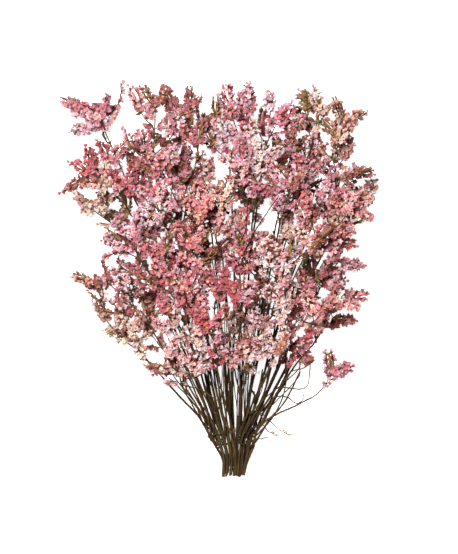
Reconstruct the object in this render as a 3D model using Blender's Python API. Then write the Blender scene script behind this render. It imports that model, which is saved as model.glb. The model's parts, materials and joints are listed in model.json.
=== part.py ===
"""Dried statice: a bunch of 22 cut, branching flower stems lying on a table.

Metres, +Z up, the table at z = 0. The cut ends lie at the -Y end and the flower heads at the +Y end.
Each bare stem is one solid. Its flowers are one or two sprays, each one solid: an axis with side
twigs, and lobes of florets at their ends. The bunch is drawn as a plan of points with spans between
them, which are tubes or lobes. The plan is then settled, so that whatever would cross is bent clear.
"""

import math
from collections import namedtuple

import bmesh
import bpy
import numpy as np
from mathutils import Matrix, Quaternion, Vector

# Driving sizes of the bunch
PLAN_CENTRE = (-0.0207, 0.2768)  # middle of the bunch's outline, in the plan's own X and Y
STEM_RADIUS = 0.0022  # at the cut end
STEM_TOP_RADIUS = 0.0014  # where the spray begins
SIDE_RADIUS = 0.0015  # a side stem at its root
AXIS_RADIUS = 0.0012  # a spray's axis at its foot
TWIG_RADIUS = 0.0009
TWIG_ROOT_RADIUS = 0.0007  # inside the axis that it leaves
LOBE_LENGTH = 0.038  # one short spike of florets
LOBE_RADIUS = 0.0107
LENGTH_SPREAD = 0.14  # share by which one lobe's size differs from the next

# The neck, where the cut ends lie packed side by side in three rows
NECK_PITCH = 0.0049
ROW_HEIGHTS = (0.0022, 0.00645, 0.0107)
NECK_LENGTH = 0.016
CUT_STAGGER = 0.0014  # how unevenly the ends were cut

# How a stem divides
MAIN_STEPS = 6
SIDE_STEPS = 4
STEM_WANDER = 0.005  # how far a stem strays from its curve, halfway up
SIDE_HEIGHT = 0.45  # a side stem leaves at this share of the height of its own spray
FORK_DROP = 0.034  # the spray begins this far below its lowest head
STUB_LENGTH = 0.008  # the undivided foot of a spray
HUB_LENGTH = 0.0022  # the knot that two lobes grow from
TWIG_SLANT = 1.1  # how far below its head a side twig leaves the axis, over its reach aside
TWIG_SPACING = 0.006  # the least way along the axis from one side twig to the next
SEAT_GAP = 0.0003  # between a stem's end and the foot of its spray
LOBE_FAN = 36.0  # degrees that two lobes of a head turn away from its heading
LOBE_PITCH = 24.0  # degrees that a lobe may rise or dip

# How the plan is settled
CLEARANCE = 0.0005  # between one solid and the next
NEAR_MARGIN = 0.012  # pairs farther apart than this are left out until the next look
LOOK_EVERY = 10
SETTLE_ROUNDS = 150
FIRM_ROUNDS = 50  # the last rounds, with nothing pulling a point back
PULL_BACK = 0.02  # share of the way home that a point is drawn in each round
SEED = 5

# A lobe is a spindle with its corners drawn out by turns, as florets stand out of a spike
LOBE_PROFILE = (0.40, 0.92, 1.0, 0.90, 0.60)  # half width at even steps from root to tip
FLORET_OUT = 1.30
FLORET_IN = 0.68
LOBE_INSET = 0.27  # a capsule round a lobe starts and ends at this share of its length
CAPSULE_SHARE = 1.2  # that capsule's radius over the lobe's own
LYING_HEIGHT = 0.6  # the middle of a lobe pressed on the table, over the lobe's half width
SMALLEST_LOBE = 0.3  # a lobe thinner than this share is left out

Stem = namedtuple("Stem", "column row sprays")
Spray = namedtuple("Spray", "tint heads")
Head = namedtuple("Head", "x y z heading lobes")

# Colours of the dried florets and of the stems
TINTS = {
    "pink": (0.78, 0.36, 0.45),
    "rose": (0.66, 0.20, 0.29),
    "pale": (0.88, 0.62, 0.62),
    "coral": (0.82, 0.42, 0.36),
    "mauve": (0.60, 0.36, 0.38),
    "straw": (0.55, 0.42, 0.28),
}
STEM_COLOUR = (0.16, 0.12, 0.05)

# Each stem stands at a column and row of the neck. Each head is the end of a twig: its place in the
# plan, the way it points in degrees from +X, and how many lobes it bears.
STEMS = (
    Stem(-3.5, 1, (
        Spray("pale", (
            Head(-0.087, 0.142, 0.095, 120, 2),
            Head(-0.085, 0.166, 0.118, 110, 2),
            Head(-0.118, 0.197, 0.008, 95, 1),
        )),
        Spray("straw", (
            Head(-0.153, 0.200, 0.055, 138, 2),
            Head(-0.178, 0.216, 0.050, 118, 1),
            Head(-0.139, 0.202, 0.090, 105, 2),
        )),
    )),
    Stem(-3.0, 0, (
        Spray("mauve", (
            Head(-0.160, 0.234, 0.080, 118, 2),
            Head(-0.178, 0.270, 0.045, 138, 2),
            Head(-0.150, 0.264, 0.075, 140, 1),
            Head(-0.136, 0.284, 0.042, 110, 2),
            Head(-0.111, 0.246, 0.008, 130, 2),
        )),
    )),
    Stem(-3.0, 2, (
        Spray("pink", (
            Head(-0.153, 0.316, 0.085, 165, 2),
            Head(-0.134, 0.337, 0.112, 125, 2),
            Head(-0.148, 0.333, 0.055, 150, 2),
            Head(-0.116, 0.332, 0.070, 85, 2),
        )),
        Spray("straw", (
            Head(-0.153, 0.365, 0.008, 130, 2),
            Head(-0.188, 0.385, 0.055, 172, 2),
            Head(-0.178, 0.403, 0.085, 130, 2),
        )),
    )),
    Stem(-2.0, 0, (
        Spray("rose", (
            Head(-0.202, 0.413, 0.050, 190, 1),
            Head(-0.192, 0.425, 0.078, 160, 1),
            Head(-0.194, 0.428, 0.034, 112, 1),
            Head(-0.174, 0.437, 0.055, 78, 2),
            Head(-0.155, 0.405, 0.092, 98, 2),
        )),
    )),
    Stem(-2.5, 1, (
        Spray("pink", (
            Head(-0.206, 0.512, 0.050, 160, 1),
            Head(-0.198, 0.490, 0.060, 182, 1),
            Head(-0.185, 0.498, 0.080, 115, 2),
            Head(-0.166, 0.508, 0.052, 118, 2),
        )),
    )),
    Stem(-1.5, 1, (
        Spray("mauve", (
            Head(-0.133, 0.510, 0.060, 140, 2),
            Head(-0.111, 0.515, 0.082, 95, 2),
            Head(-0.143, 0.456, 0.095, 105, 1),
        )),
        Spray("rose", (
            Head(-0.132, 0.391, 0.070, 120, 2),
            Head(-0.129, 0.433, 0.060, 110, 2),
            Head(-0.106, 0.421, 0.108, 110, 2),
        )),
    )),
    Stem(-1.0, 2, (
        Spray("pink", (
            Head(-0.111, 0.379, 0.122, 100, 2),
            Head(-0.090, 0.409, 0.080, 80, 2),
            Head(-0.087, 0.372, 0.108, 90, 2),
        )),
        Spray("coral", (
            Head(-0.050, 0.365, 0.115, 90, 2),
            Head(-0.078, 0.346, 0.050, 110, 2),
            Head(-0.059, 0.318, 0.126, 95, 2),
            Head(-0.064, 0.330, 0.080, 60, 1),
        )),
    )),
    Stem(-2.0, 2, (
        Spray("pale", (
            Head(-0.052, 0.146, 0.106, 100, 2),
            Head(-0.083, 0.200, 0.120, 110, 2),
            Head(-0.059, 0.183, 0.085, 95, 1),
        )),
        Spray("rose", (
            Head(-0.097, 0.300, 0.095, 110, 2),
            Head(-0.076, 0.291, 0.080, 95, 2),
            Head(-0.069, 0.258, 0.124, 100, 2),
            Head(-0.106, 0.263, 0.085, 115, 2),
            Head(-0.094, 0.230, 0.096, 105, 1),
            Head(-0.055, 0.225, 0.095, 100, 2),
        )),
    )),
    Stem(-1.0, 0, (
        Spray("mauve", (
            Head(-0.087, 0.510, 0.045, 105, 1),
            Head(-0.070, 0.505, 0.082, 90, 2),
            Head(-0.043, 0.501, 0.046, 50, 2),
            Head(-0.027, 0.490, 0.092, 65, 2),
        )),
        Spray("mauve", (
            Head(-0.083, 0.456, 0.040, 100, 2),
            Head(-0.048, 0.463, 0.098, 110, 2),
            Head(-0.075, 0.427, 0.060, 85, 1),
            Head(-0.062, 0.407, 0.008, 95, 2),
        )),
    )),
    Stem(0.0, 2, (
        Spray("rose", (
            Head(-0.027, 0.153, 0.078, 100, 2),
            Head(-0.031, 0.207, 0.128, 95, 2),
        )),
        Spray("rose", (
            Head(-0.031, 0.253, 0.098, 95, 2),
            Head(-0.046, 0.286, 0.104, 95, 2),
            Head(-0.027, 0.300, 0.076, 95, 2),
        )),
    )),
    Stem(-0.5, 1, (
        Spray("pink", (
            Head(0.017, 0.506, 0.060, 72, 2),
            Head(-0.034, 0.459, 0.066, 75, 2),
        )),
        Spray("coral", (
            Head(-0.036, 0.410, 0.060, 90, 1),
            Head(-0.017, 0.384, 0.110, 100, 2),
            Head(-0.026, 0.352, 0.070, 105, 2),
            Head(-0.003, 0.330, 0.082, 100, 2),
        )),
    )),
    Stem(1.0, 2, (
        Spray("pink", (
            Head(0.008, 0.463, 0.092, 90, 2),
            Head(0.006, 0.428, 0.120, 110, 2),
            Head(0.014, 0.400, 0.060, 90, 1),
        )),
        Spray("rose", (
            Head(0.008, 0.288, 0.078, 95, 2),
            Head(0.008, 0.244, 0.126, 95, 2),
        )),
    )),
    Stem(0.5, 1, (
        Spray("pale", (
            Head(-0.003, 0.160, 0.086, 95, 2),
            Head(0.001, 0.197, 0.052, 90, 1),
            Head(0.022, 0.162, 0.110, 95, 2),
            Head(0.039, 0.204, 0.088, 80, 2),
            Head(0.018, 0.212, 0.070, 110, 1),
            Head(0.039, 0.246, 0.008, 90, 2),
        )),
    )),
    Stem(0.0, 0, (
        Spray("pink", (
            Head(0.034, 0.482, 0.042, 110, 2),
            Head(0.057, 0.491, 0.082, 90, 2),
        )),
        Spray("pale", (
            Head(0.020, 0.421, 0.070, 85, 2),
            Head(0.043, 0.435, 0.112, 75, 2),
            Head(0.029, 0.379, 0.008, 100, 2),
        )),
    )),
    Stem(1.5, 1, (
        Spray("mauve", (
            Head(0.078, 0.483, 0.066, 80, 2),
            Head(0.085, 0.449, 0.026, 100, 2),
        )),
        Spray("pink", (
            Head(0.076, 0.403, 0.126, 95, 2),
            Head(0.057, 0.400, 0.098, 135, 2),
            Head(0.076, 0.384, 0.070, 60, 2),
        )),
    )),
    Stem(2.0, 2, (
        Spray("pale", (
            Head(0.048, 0.169, 0.110, 95, 2),
            Head(0.071, 0.239, 0.116, 110, 2),
        )),
        Spray("pale", (
            Head(0.071, 0.305, 0.106, 110, 2),
            Head(0.048, 0.288, 0.098, 110, 2),
            Head(0.062, 0.321, 0.050, 165, 1),
        )),
    )),
    Stem(1.0, 0, (
        Spray("straw", (
            Head(0.106, 0.485, 0.040, 115, 1),
            Head(0.115, 0.507, 0.062, 130, 1),
            Head(0.123, 0.501, 0.080, 76, 2),
        )),
        Spray("pink", (
            Head(0.109, 0.403, 0.108, 90, 2),
            Head(0.104, 0.435, 0.030, 100, 2),
            Head(0.062, 0.435, 0.066, 50, 1),
        )),
    )),
    Stem(2.5, 1, (
        Spray("straw", (
            Head(0.158, 0.490, 0.050, 72, 2),
            Head(0.146, 0.470, 0.080, 95, 2),
            Head(0.148, 0.442, 0.042, 80, 1),
        )),
        Spray("pink", (
            Head(0.159, 0.421, 0.070, 42, 2),
            Head(0.165, 0.396, 0.034, 30, 1),
            Head(0.144, 0.400, 0.080, 85, 2),
            Head(0.127, 0.379, 0.098, 75, 2),
        )),
    )),
    Stem(3.0, 2, (
        Spray("coral", (
            Head(0.157, 0.373, 0.090, 22, 2),
            Head(0.151, 0.365, 0.112, 95, 2),
            Head(0.134, 0.361, 0.055, 80, 2),
        )),
        Spray("coral", (
            Head(0.138, 0.342, 0.095, 45, 2),
            Head(0.125, 0.325, 0.066, 25, 2),
            Head(0.104, 0.318, 0.112, 95, 2),
            Head(0.101, 0.350, 0.092, 88, 2),
            Head(0.071, 0.330, 0.078, 90, 1),
        )),
    )),
    Stem(2.0, 0, (
        Spray("mauve", (
            Head(0.144, 0.305, 0.060, -8, 1),
            Head(0.134, 0.300, 0.085, 60, 1),
            Head(0.109, 0.277, 0.008, 60, 2),
            Head(0.121, 0.270, 0.050, 24, 2),
        )),
    )),
    Stem(3.0, 0, (
        Spray("coral", (
            Head(0.134, 0.239, 0.085, 32, 2),
            Head(0.151, 0.249, 0.050, 4, 1),
            Head(0.138, 0.225, 0.055, 15, 1),
            Head(0.134, 0.214, 0.020, 2, 1),
            Head(0.108, 0.228, 0.100, 80, 2),
        )),
    )),
    Stem(3.5, 1, (
        Spray("rose", (
            Head(0.085, 0.225, 0.070, 70, 2),
            Head(0.085, 0.174, 0.055, 150, 1),
            Head(0.100, 0.158, 0.070, 105, 2),
        )),
        Spray("pink", (
            Head(0.136, 0.141, 0.050, 58, 2),
        )),
    )),
)


class Plan:
    """Points, with how freely each moves, and spans: first point, last point, radius, inset, owner."""

    def __init__(self):
        self.points = []
        self.mobility = []
        self.spans = []

    def point(self, place, mobility):
        self.points.append(tuple(place))
        self.mobility.append(mobility)
        return len(self.points) - 1

    def span(self, first, last, radius, owner, inset=0.0):
        self.spans.append((first, last, radius, inset, owner))
        return len(self.spans) - 1

    def chain(self, indices, first_radius, last_radius, owner):
        """A run of tubes through points, from one radius to another."""
        steps = len(indices) - 1
        for step in range(steps):
            share = step / steps
            radius = first_radius + (last_radius - first_radius) * share
            self.span(indices[step], indices[step + 1], radius, owner)


def on_curve(start, leave, end, arrive, share):
    """A point on the cubic that leaves and arrives along the two given vectors."""
    rest = 1 - share
    near = rest**3 * start + 3 * share * rest**2 * (start + leave)
    return near + 3 * share**2 * rest * (end - arrive) + share**3 * end


def even_shares(steps):
    return [step / steps for step in range(1, steps + 1)]


def direction_of(heading, pitch):
    """The unit vector at a heading from +X and a pitch above the table, in degrees."""
    flat = math.cos(math.radians(pitch))
    return np.array((
        flat * math.cos(math.radians(heading)),
        flat * math.sin(math.radians(heading)),
        math.sin(math.radians(pitch)),
    ))


def foot_of(spray, neck):
    """Where a spray begins: on the way from the neck to its heads, a little below the lowest."""
    heads = np.array([(head.x, head.y, head.z) for head in spray.heads])
    middle = heads.mean(axis=0)
    height = heads[:, 1].min() - FORK_DROP
    share = (height - neck[1]) / (middle[1] - neck[1])
    foot = neck + (middle - neck) * share
    foot[2] = neck[2] + (middle[2] - neck[2]) * math.sqrt(share)
    return foot


def shares_of_side_twigs(start, axis_end, bases):
    """How far along the axis each side twig leaves it, lowest first, at about the natural angle."""
    chord = axis_end - start
    length = np.linalg.norm(chord)
    wanted = []
    for place, base in bases:
        along = (base - start) @ chord / length
        aside = np.linalg.norm(base - start - chord / length * along)
        wanted.append((np.clip((along - aside * TWIG_SLANT) / length, 0.0, 0.8), place))
    found = []
    for share, place in sorted(wanted):
        if found:
            share = max(share, found[-1][0] + TWIG_SPACING / length)
        found.append((share, place))
    return found


def plan_spray(plan, spray, end, way, number, owner):
    """Adds a spray's axis, side twigs and lobes beyond the point end. Returns their indices."""
    start = np.array(plan.points[end]) + way * STUB_LENGTH
    stub = plan.point(start, 0.4)
    bases = [np.array((head.x, head.y, head.z)) for head in spray.heads]
    facing = [direction_of(head.heading, 0) for head in spray.heads]
    top = max(range(len(bases)), key=lambda place: np.linalg.norm(bases[place] - start))
    others = [(place, base) for place, base in enumerate(bases) if place != top]
    reach = np.linalg.norm(bases[top] - start)
    leaving = shares_of_side_twigs(start, bases[top], others)
    axis = [end, stub]
    base_points = {}
    twigs = []
    for share, place in leaving:
        spot = on_curve(start, way * reach * 0.3, bases[top], facing[top] * reach * 0.25, share)
        axis.append(plan.point(spot, 0.6) if share > 0 else stub)
        base_points[place] = plan.point(bases[place], 0.8)
        twigs.append([axis[-1], base_points[place]])
    base_points[top] = plan.point(bases[top], 0.8)
    axis = list(dict.fromkeys(axis)) + [base_points[top]]
    plan.chain(axis, AXIS_RADIUS, TWIG_RADIUS, owner)
    for root, base in twigs:
        plan.span(root, base, TWIG_RADIUS, owner)
    lobes = []
    for place, head in enumerate(spray.heads):
        draw = np.random.default_rng((SEED, number, place))
        for turn in range(head.lobes):
            side = LOBE_FAN * (2 * turn - head.lobes + 1)
            heading = head.heading + side + draw.uniform(-9, 9)
            pitch = draw.uniform(-LOBE_PITCH, LOBE_PITCH)
            size = 1 + draw.uniform(-LENGTH_SPREAD, LENGTH_SPREAD)
            tip = plan.point(bases[place] + direction_of(heading, pitch) * LOBE_LENGTH * size, 1.0)
            radius = LOBE_RADIUS * size
            span = plan.span(base_points[place], tip, radius * CAPSULE_SHARE, owner, LOBE_INSET)
            lobes.append((base_points[place], tip, radius, span))
    return {"end": end, "stub": stub, "axis": axis, "twigs": twigs, "lobes": lobes, "owner": owner}


def plan_stem(plan, stem, number):
    """Adds one stem and its sprays to the plan. Returns the indices that its solids are made from."""
    draw = np.random.default_rng((SEED, number))
    neck = np.array((stem.column * NECK_PITCH, draw.uniform(0, CUT_STAGGER), ROW_HEIGHTS[stem.row]))
    collar = neck + np.array((0.0, NECK_LENGTH, 0.0))
    feet = [foot_of(spray, collar) for spray in stem.sprays]
    highest = max(range(len(feet)), key=lambda place: feet[place][1])
    owner = f"stem_{number:02d}"

    target = feet[highest]
    leave = (target - collar) * np.array((0.22, 0.36, 0.15))
    arrive = (target - collar) * np.array((0.42, 0.30, 0.30))
    main = [plan.point(neck, 0.0), plan.point(collar, 0.0)]
    for share in even_shares(MAIN_STEPS - 1):
        spot = on_curve(collar, leave, target, arrive, share)
        spot[:2] += draw.uniform(-STEM_WANDER, STEM_WANDER, 2) * math.sin(math.pi * share)
        main.append(plan.point(spot, 0.3))
    plan.chain(main, STEM_RADIUS, STEM_TOP_RADIUS, owner)

    side = None
    ways = {highest: arrive / np.linalg.norm(arrive)}
    ends = {highest: main[-1]}
    for place, foot in enumerate(feet):
        if place == highest:
            continue
        heights = [plan.points[index][1] for index in main]
        wanted = collar[1] + (foot[1] - collar[1]) * SIDE_HEIGHT
        near = min(range(2, len(main) - 1), key=lambda k: abs(heights[k] - wanted))
        root = np.array(plan.points[main[near]])
        after = np.array(plan.points[main[near + 1]])
        reach = np.linalg.norm(foot - root)
        leave = (after - root) / np.linalg.norm(after - root) * reach * 0.35
        arrive = (foot - root) * 0.35
        side = [main[near]]
        for share in even_shares(SIDE_STEPS):
            side.append(plan.point(on_curve(root, leave, foot, arrive, share), 0.4))
        plan.chain(side, SIDE_RADIUS, STEM_TOP_RADIUS, owner)
        ways[place] = arrive / np.linalg.norm(arrive)
        ends[place] = side[-1]

    sprays = []
    for place, spray in enumerate(stem.sprays):
        spray_owner = f"spray_{number:02d}{'ab'[place]}"
        seed = number * 2 + place
        made = plan_spray(plan, spray, ends[place], ways[place], seed, spray_owner)
        made["tint"] = spray.tint
        made["before"] = side[-2] if side and ends[place] == side[-1] else main[-2]
        sprays.append(made)
    return {"owner": owner, "main": main, "side": side, "sprays": sprays}


def nearest_shares(first, first_end, second, second_end):
    """How far along each of two rows of segments their nearest points lie."""
    along = first_end - first
    across = second_end - second
    between = first - second
    a = (along * along).sum(axis=1) + 1e-18
    b = (along * across).sum(axis=1)
    c = (across * across).sum(axis=1) + 1e-18
    d = (along * between).sum(axis=1)
    e = (across * between).sum(axis=1)
    spread = a * c - b * b + 1e-18
    s = np.clip((b * e - c * d) / spread, 0, 1)
    t = np.clip((b * s + e) / c, 0, 1)
    s = np.clip((b * t - d) / a, 0, 1)
    return s, t


class Spans:
    """The plan's spans as arrays, with the pairs that share no point."""

    def __init__(self, plan):
        self.first = np.array([span[0] for span in plan.spans])
        self.last = np.array([span[1] for span in plan.spans])
        self.radius = np.array([span[2] for span in plan.spans])
        self.inset = np.array([span[3] for span in plan.spans])[:, None]
        owners = {name: place for place, name in enumerate(sorted({span[4] for span in plan.spans}))}
        self.owner = np.array([owners[span[4]] for span in plan.spans])
        one, other = np.triu_indices(len(plan.spans), 1)
        apart = np.ones(len(one), bool)
        for mine in (self.first, self.last):
            for theirs in (self.first, self.last):
                apart &= mine[one] != theirs[other]
        self.one = one[apart]
        self.other = other[apart]

    def ends(self, points):
        """Both ends of each span's core, without its inset."""
        start = points[self.first]
        end = points[self.last]
        return start + (end - start) * self.inset, end - (end - start) * self.inset

    def shortfalls(self, points, pairs):
        """For each pair: the shares along both, the way between them, and how much too near they are."""
        one, other = pairs
        start, end = self.ends(points)
        s, t = nearest_shares(start[one], end[one], start[other], end[other])
        near = start[one] + (end[one] - start[one]) * s[:, None]
        far = start[other] + (end[other] - start[other]) * t[:, None]
        between = near - far
        distance = np.linalg.norm(between, axis=1) + 1e-12
        short = self.radius[one] + self.radius[other] + CLEARANCE - distance
        return s, t, between / distance[:, None], short

    def nearby(self, points, margin):
        """The pairs whose surfaces come within a margin of each other."""
        start, end = self.ends(points)
        middle = (start + end) / 2
        size = np.linalg.norm(end - start, axis=1) / 2 + self.radius
        distance = np.linalg.norm(middle[self.one] - middle[self.other], axis=1)
        near = distance < size[self.one] + size[self.other] + margin
        return self.one[near], self.other[near]


def settle(plan, lobes, stubs):
    """Moves the plan's points until the spans are clear of each other and of the table.

    A lobe keeps its length, and a spray's stub stays in line with the end of its stem.
    """
    points = np.array(plan.points, float)
    home = points.copy()
    mobility = np.array(plan.mobility)[:, None]
    spans = Spans(plan)
    bases = np.array([lobe[0] for lobe in lobes])
    tips = np.array([lobe[1] for lobe in lobes])
    floor = np.array([lobe[2] for lobe in lobes]) * LYING_HEIGHT
    lengths = np.linalg.norm(points[tips] - points[bases], axis=1)[:, None]
    for turn in range(SETTLE_ROUNDS):
        if turn % LOOK_EVERY == 0:
            pairs = spans.nearby(points, NEAR_MARGIN)
        s, t, way, short = spans.shortfalls(points, pairs)
        close = short > 0
        one, other = pairs[0][close], pairs[1][close]
        push = way[close] * short[close][:, None] * 0.5
        s = spans.inset[one] + s[close][:, None] * (1 - 2 * spans.inset[one])
        t = spans.inset[other] + t[close][:, None] * (1 - 2 * spans.inset[other])
        move = np.zeros_like(points)
        np.add.at(move, spans.first[one], push * (1 - s))
        np.add.at(move, spans.last[one], push * s)
        np.add.at(move, spans.first[other], -push * (1 - t))
        np.add.at(move, spans.last[other], -push * t)
        if turn < SETTLE_ROUNDS - FIRM_ROUNDS:
            move += (home - points) * PULL_BACK
        points += move * mobility
        middle_height = (points[bases, 2] + points[tips, 2]) / 2
        sunk = np.maximum(floor - middle_height, 0)
        points[bases, 2] += sunk
        points[tips, 2] += sunk
        points[:, 2] = np.maximum(points[:, 2], STEM_RADIUS)
        way = points[tips] - points[bases]
        points[tips] = points[bases] + way / np.linalg.norm(way, axis=1)[:, None] * lengths
        way = points[stubs[:, 1]] - points[stubs[:, 0]]
        way /= np.linalg.norm(way, axis=1)[:, None]
        points[stubs[:, 2]] = points[stubs[:, 1]] + way * STUB_LENGTH
    return points, spans


def fit_lobes(points, spans, lobes):
    """The share of its full thickness that each lobe can have, so that it stays clear of other nodes."""
    by_span = {lobe[3]: place for place, lobe in enumerate(lobes)}
    one, other = spans.nearby(points, 0.002)
    apart = spans.owner[one] != spans.owner[other]
    one, other = one[apart], other[apart]
    short = spans.shortfalls(points, (one, other))[3]
    share = np.ones(len(lobes))
    for near, far, lack in zip(one, other, short):
        if lack <= 0:
            continue
        fat = [place for place in (by_span.get(near), by_span.get(far)) if place is not None]
        for place in fat:
            full = spans.radius[lobes[place][3]]
            share[place] = min(share[place], 1 - lack / len(fat) / full)
    return np.maximum(share, 0)


def material_of(name, colour, roughness):
    material = bpy.data.materials.new(name)
    material.use_nodes = True
    shader = material.node_tree.nodes["Principled BSDF"]
    shader.inputs["Base Color"].default_value = (*colour, 1.0)
    shader.inputs["Roughness"].default_value = roughness
    shader.inputs["Metallic"].default_value = 0.0
    return material


def link(mesh, name, collection):
    made = bpy.data.objects.new(name, mesh)
    collection.objects.link(made)
    return made


def tube(name, path, radii, sides_step, collection):
    """A round tube through points with a radius at each, as a closed mesh."""
    curve = bpy.data.curves.new(name, "CURVE")
    curve.dimensions = "3D"
    curve.bevel_depth = 1.0
    curve.bevel_resolution = sides_step
    curve.use_fill_caps = True
    spline = curve.splines.new("POLY")
    spline.points.add(len(path) - 1)
    for point, place, radius in zip(spline.points, path, radii):
        point.co = (*place, 1.0)
        point.radius = radius
    guide = link(curve, name + "_line", collection)
    graph = bpy.context.evaluated_depsgraph_get()
    mesh = bpy.data.meshes.new_from_object(guide.evaluated_get(graph))
    bpy.data.objects.remove(guide)
    shape = bmesh.new()
    shape.from_mesh(mesh)
    bmesh.ops.remove_doubles(shape, verts=shape.verts, dist=0.00002)
    bmesh.ops.recalc_face_normals(shape, faces=shape.faces)
    press_on_table(shape)
    shape.to_mesh(mesh)
    shape.free()
    return link(mesh, name, collection)


def press_on_table(shape):
    """Cuts off flat what would reach below the table."""
    if min(vertex.co.z for vertex in shape.verts) >= 0:
        return
    everything = shape.verts[:] + shape.edges[:] + shape.faces[:]
    bmesh.ops.bisect_plane(shape, geom=everything, dist=0.00002, plane_no=(0, 0, -1), clear_outer=True)
    bmesh.ops.holes_fill(shape, edges=shape.edges)


def extend(shape, cap, centre, turn, widths):
    """Extrudes a face to a new centre, its corners turned and set at a width each."""
    middle = cap.calc_center_median()
    made = bmesh.ops.extrude_discrete_faces(shape, faces=[cap])["faces"][0]
    for corner, width in zip(made.verts, widths):
        corner.co = centre + (turn @ (corner.co - middle)).normalized() * width
    return made


def first_segment(shape, start, end, start_radius, end_radius):
    """The first length of a twig, four-sided. Returns its end face."""
    way = end - start
    place = Matrix.Translation((start + end) / 2) @ way.to_track_quat("Z", "Y").to_matrix().to_4x4()
    bmesh.ops.create_cone(
        shape,
        cap_ends=True,
        segments=4,
        radius1=start_radius,
        radius2=end_radius,
        depth=way.length,
        matrix=place,
    )
    shape.normal_update()
    return max(shape.faces, key=lambda face: face.normal.dot(way))


def grow_lobe(shape, cap, base, tip, radius):
    """A spike of florets out of a face: rings whose corners stand out by turns, and a point."""
    way = tip - base
    turn = cap.normal.rotation_difference(way)
    for ring, profile in enumerate(LOBE_PROFILE):
        widths = [
            radius * profile * (FLORET_OUT if (ring + corner) % 2 else FLORET_IN) for corner in range(4)
        ]
        share = (ring + 1) / (len(LOBE_PROFILE) + 1)
        cap = extend(shape, cap, base + way * share, turn, widths)
        turn = Quaternion()
    apex = bmesh.ops.poke(shape, faces=[cap])["verts"][0]
    apex.co = tip


def frond(name, path, radii, lobes, collection):
    """A twig through a path, and the lobes at its end, as one closed mesh."""
    shape = bmesh.new()
    cap = first_segment(shape, path[0], path[1], radii[0], radii[1])
    way = path[1] - path[0]
    for before, place, radius in zip(path[1:], path[2:], radii[2:]):
        turn = way.rotation_difference(place - before)
        way = place - before
        cap = extend(shape, cap, place, turn, (radius,) * 4)
    base = path[-1]
    free = [cap]
    if len(lobes) > 1:
        end = base + way.normalized() * HUB_LENGTH
        cap = extend(shape, cap, end, Quaternion(), (TWIG_RADIUS,) * 4)
        shape.normal_update()
        free = [face for edge in cap.edges for face in edge.link_faces if face != cap] + [cap]
    for tip, radius in lobes:
        shape.normal_update()
        near = max(free, key=lambda face: face.normal.dot(tip - base))
        free.remove(near)
        grow_lobe(shape, near, base, tip, radius)
    press_on_table(shape)
    bmesh.ops.recalc_face_normals(shape, faces=shape.faces)
    mesh = bpy.data.meshes.new(name)
    shape.to_mesh(mesh)
    shape.free()
    return link(mesh, name, collection)


def fuse(name, pieces, material, collection):
    """One solid from overlapping pieces."""
    first = pieces[0]
    others = bpy.data.collections.new(name + "_pieces")
    bpy.context.scene.collection.children.link(others)
    for piece in pieces[1:]:
        for holder in piece.users_collection:
            holder.objects.unlink(piece)
        others.objects.link(piece)
    if len(pieces) > 1:
        union = first.modifiers.new("union", "BOOLEAN")
        union.operation = "UNION"
        union.operand_type = "COLLECTION"
        union.collection = others
        union.solver = "EXACT"
        union.use_self = True
    graph = bpy.context.evaluated_depsgraph_get()
    mesh = bpy.data.meshes.new_from_object(first.evaluated_get(graph))
    for piece in pieces:
        bpy.data.objects.remove(piece)
    bpy.data.collections.remove(others)
    mesh.materials.clear()
    mesh.materials.append(material)
    mesh.shade_smooth()
    mesh.set_sharp_from_angle(angle=math.radians(50))
    return link(mesh, name, collection)


def radii_along(count, first, last):
    return [first + (last - first) * step / (count - 1) for step in range(count)]


def model_stem(made, points, material, collection):
    """The bare stem and its side stem as one solid."""
    path = [points[index] for index in made["main"]]
    radii = radii_along(len(path), STEM_RADIUS, STEM_TOP_RADIUS)
    pieces = [tube(made["owner"] + "_main", path, radii, 1, collection)]
    if made["side"]:
        path = [points[index] for index in made["side"]]
        radii = radii_along(len(path), SIDE_RADIUS, STEM_TOP_RADIUS)
        pieces.append(tube(made["owner"] + "_side", path, radii, 0, collection))
    return fuse(made["owner"], pieces, material, collection)


def model_spray(made, points, shares, materials, collection):
    """The forked twig of a spray and its lobes as one solid, seated on the end of its stem."""
    end = points[made["end"]]
    seat = end + (points[made["stub"]] - end).normalized() * SEAT_GAP
    paths = [[seat] + [points[index] for index in made["axis"][1:]]]
    radii = [radii_along(len(paths[0]), AXIS_RADIUS, TWIG_RADIUS)]
    tops = [made["axis"][-1]]
    for root, base in made["twigs"]:
        paths.append([points[root], points[base]])
        radii.append((TWIG_ROOT_RADIUS, TWIG_RADIUS))
        tops.append(base)
    pieces = []
    for path, widths, top in zip(paths, radii, tops):
        lobes = [
            (points[tip], radius * shares[number])
            for base, tip, radius, number in made["lobes"]
            if base == top and shares[number] > SMALLEST_LOBE
        ]
        pieces.append(frond(f"{made['owner']}_frond{top}", path, widths, lobes, collection))
    return fuse(made["owner"], pieces, materials[made["tint"]], collection)


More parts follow.
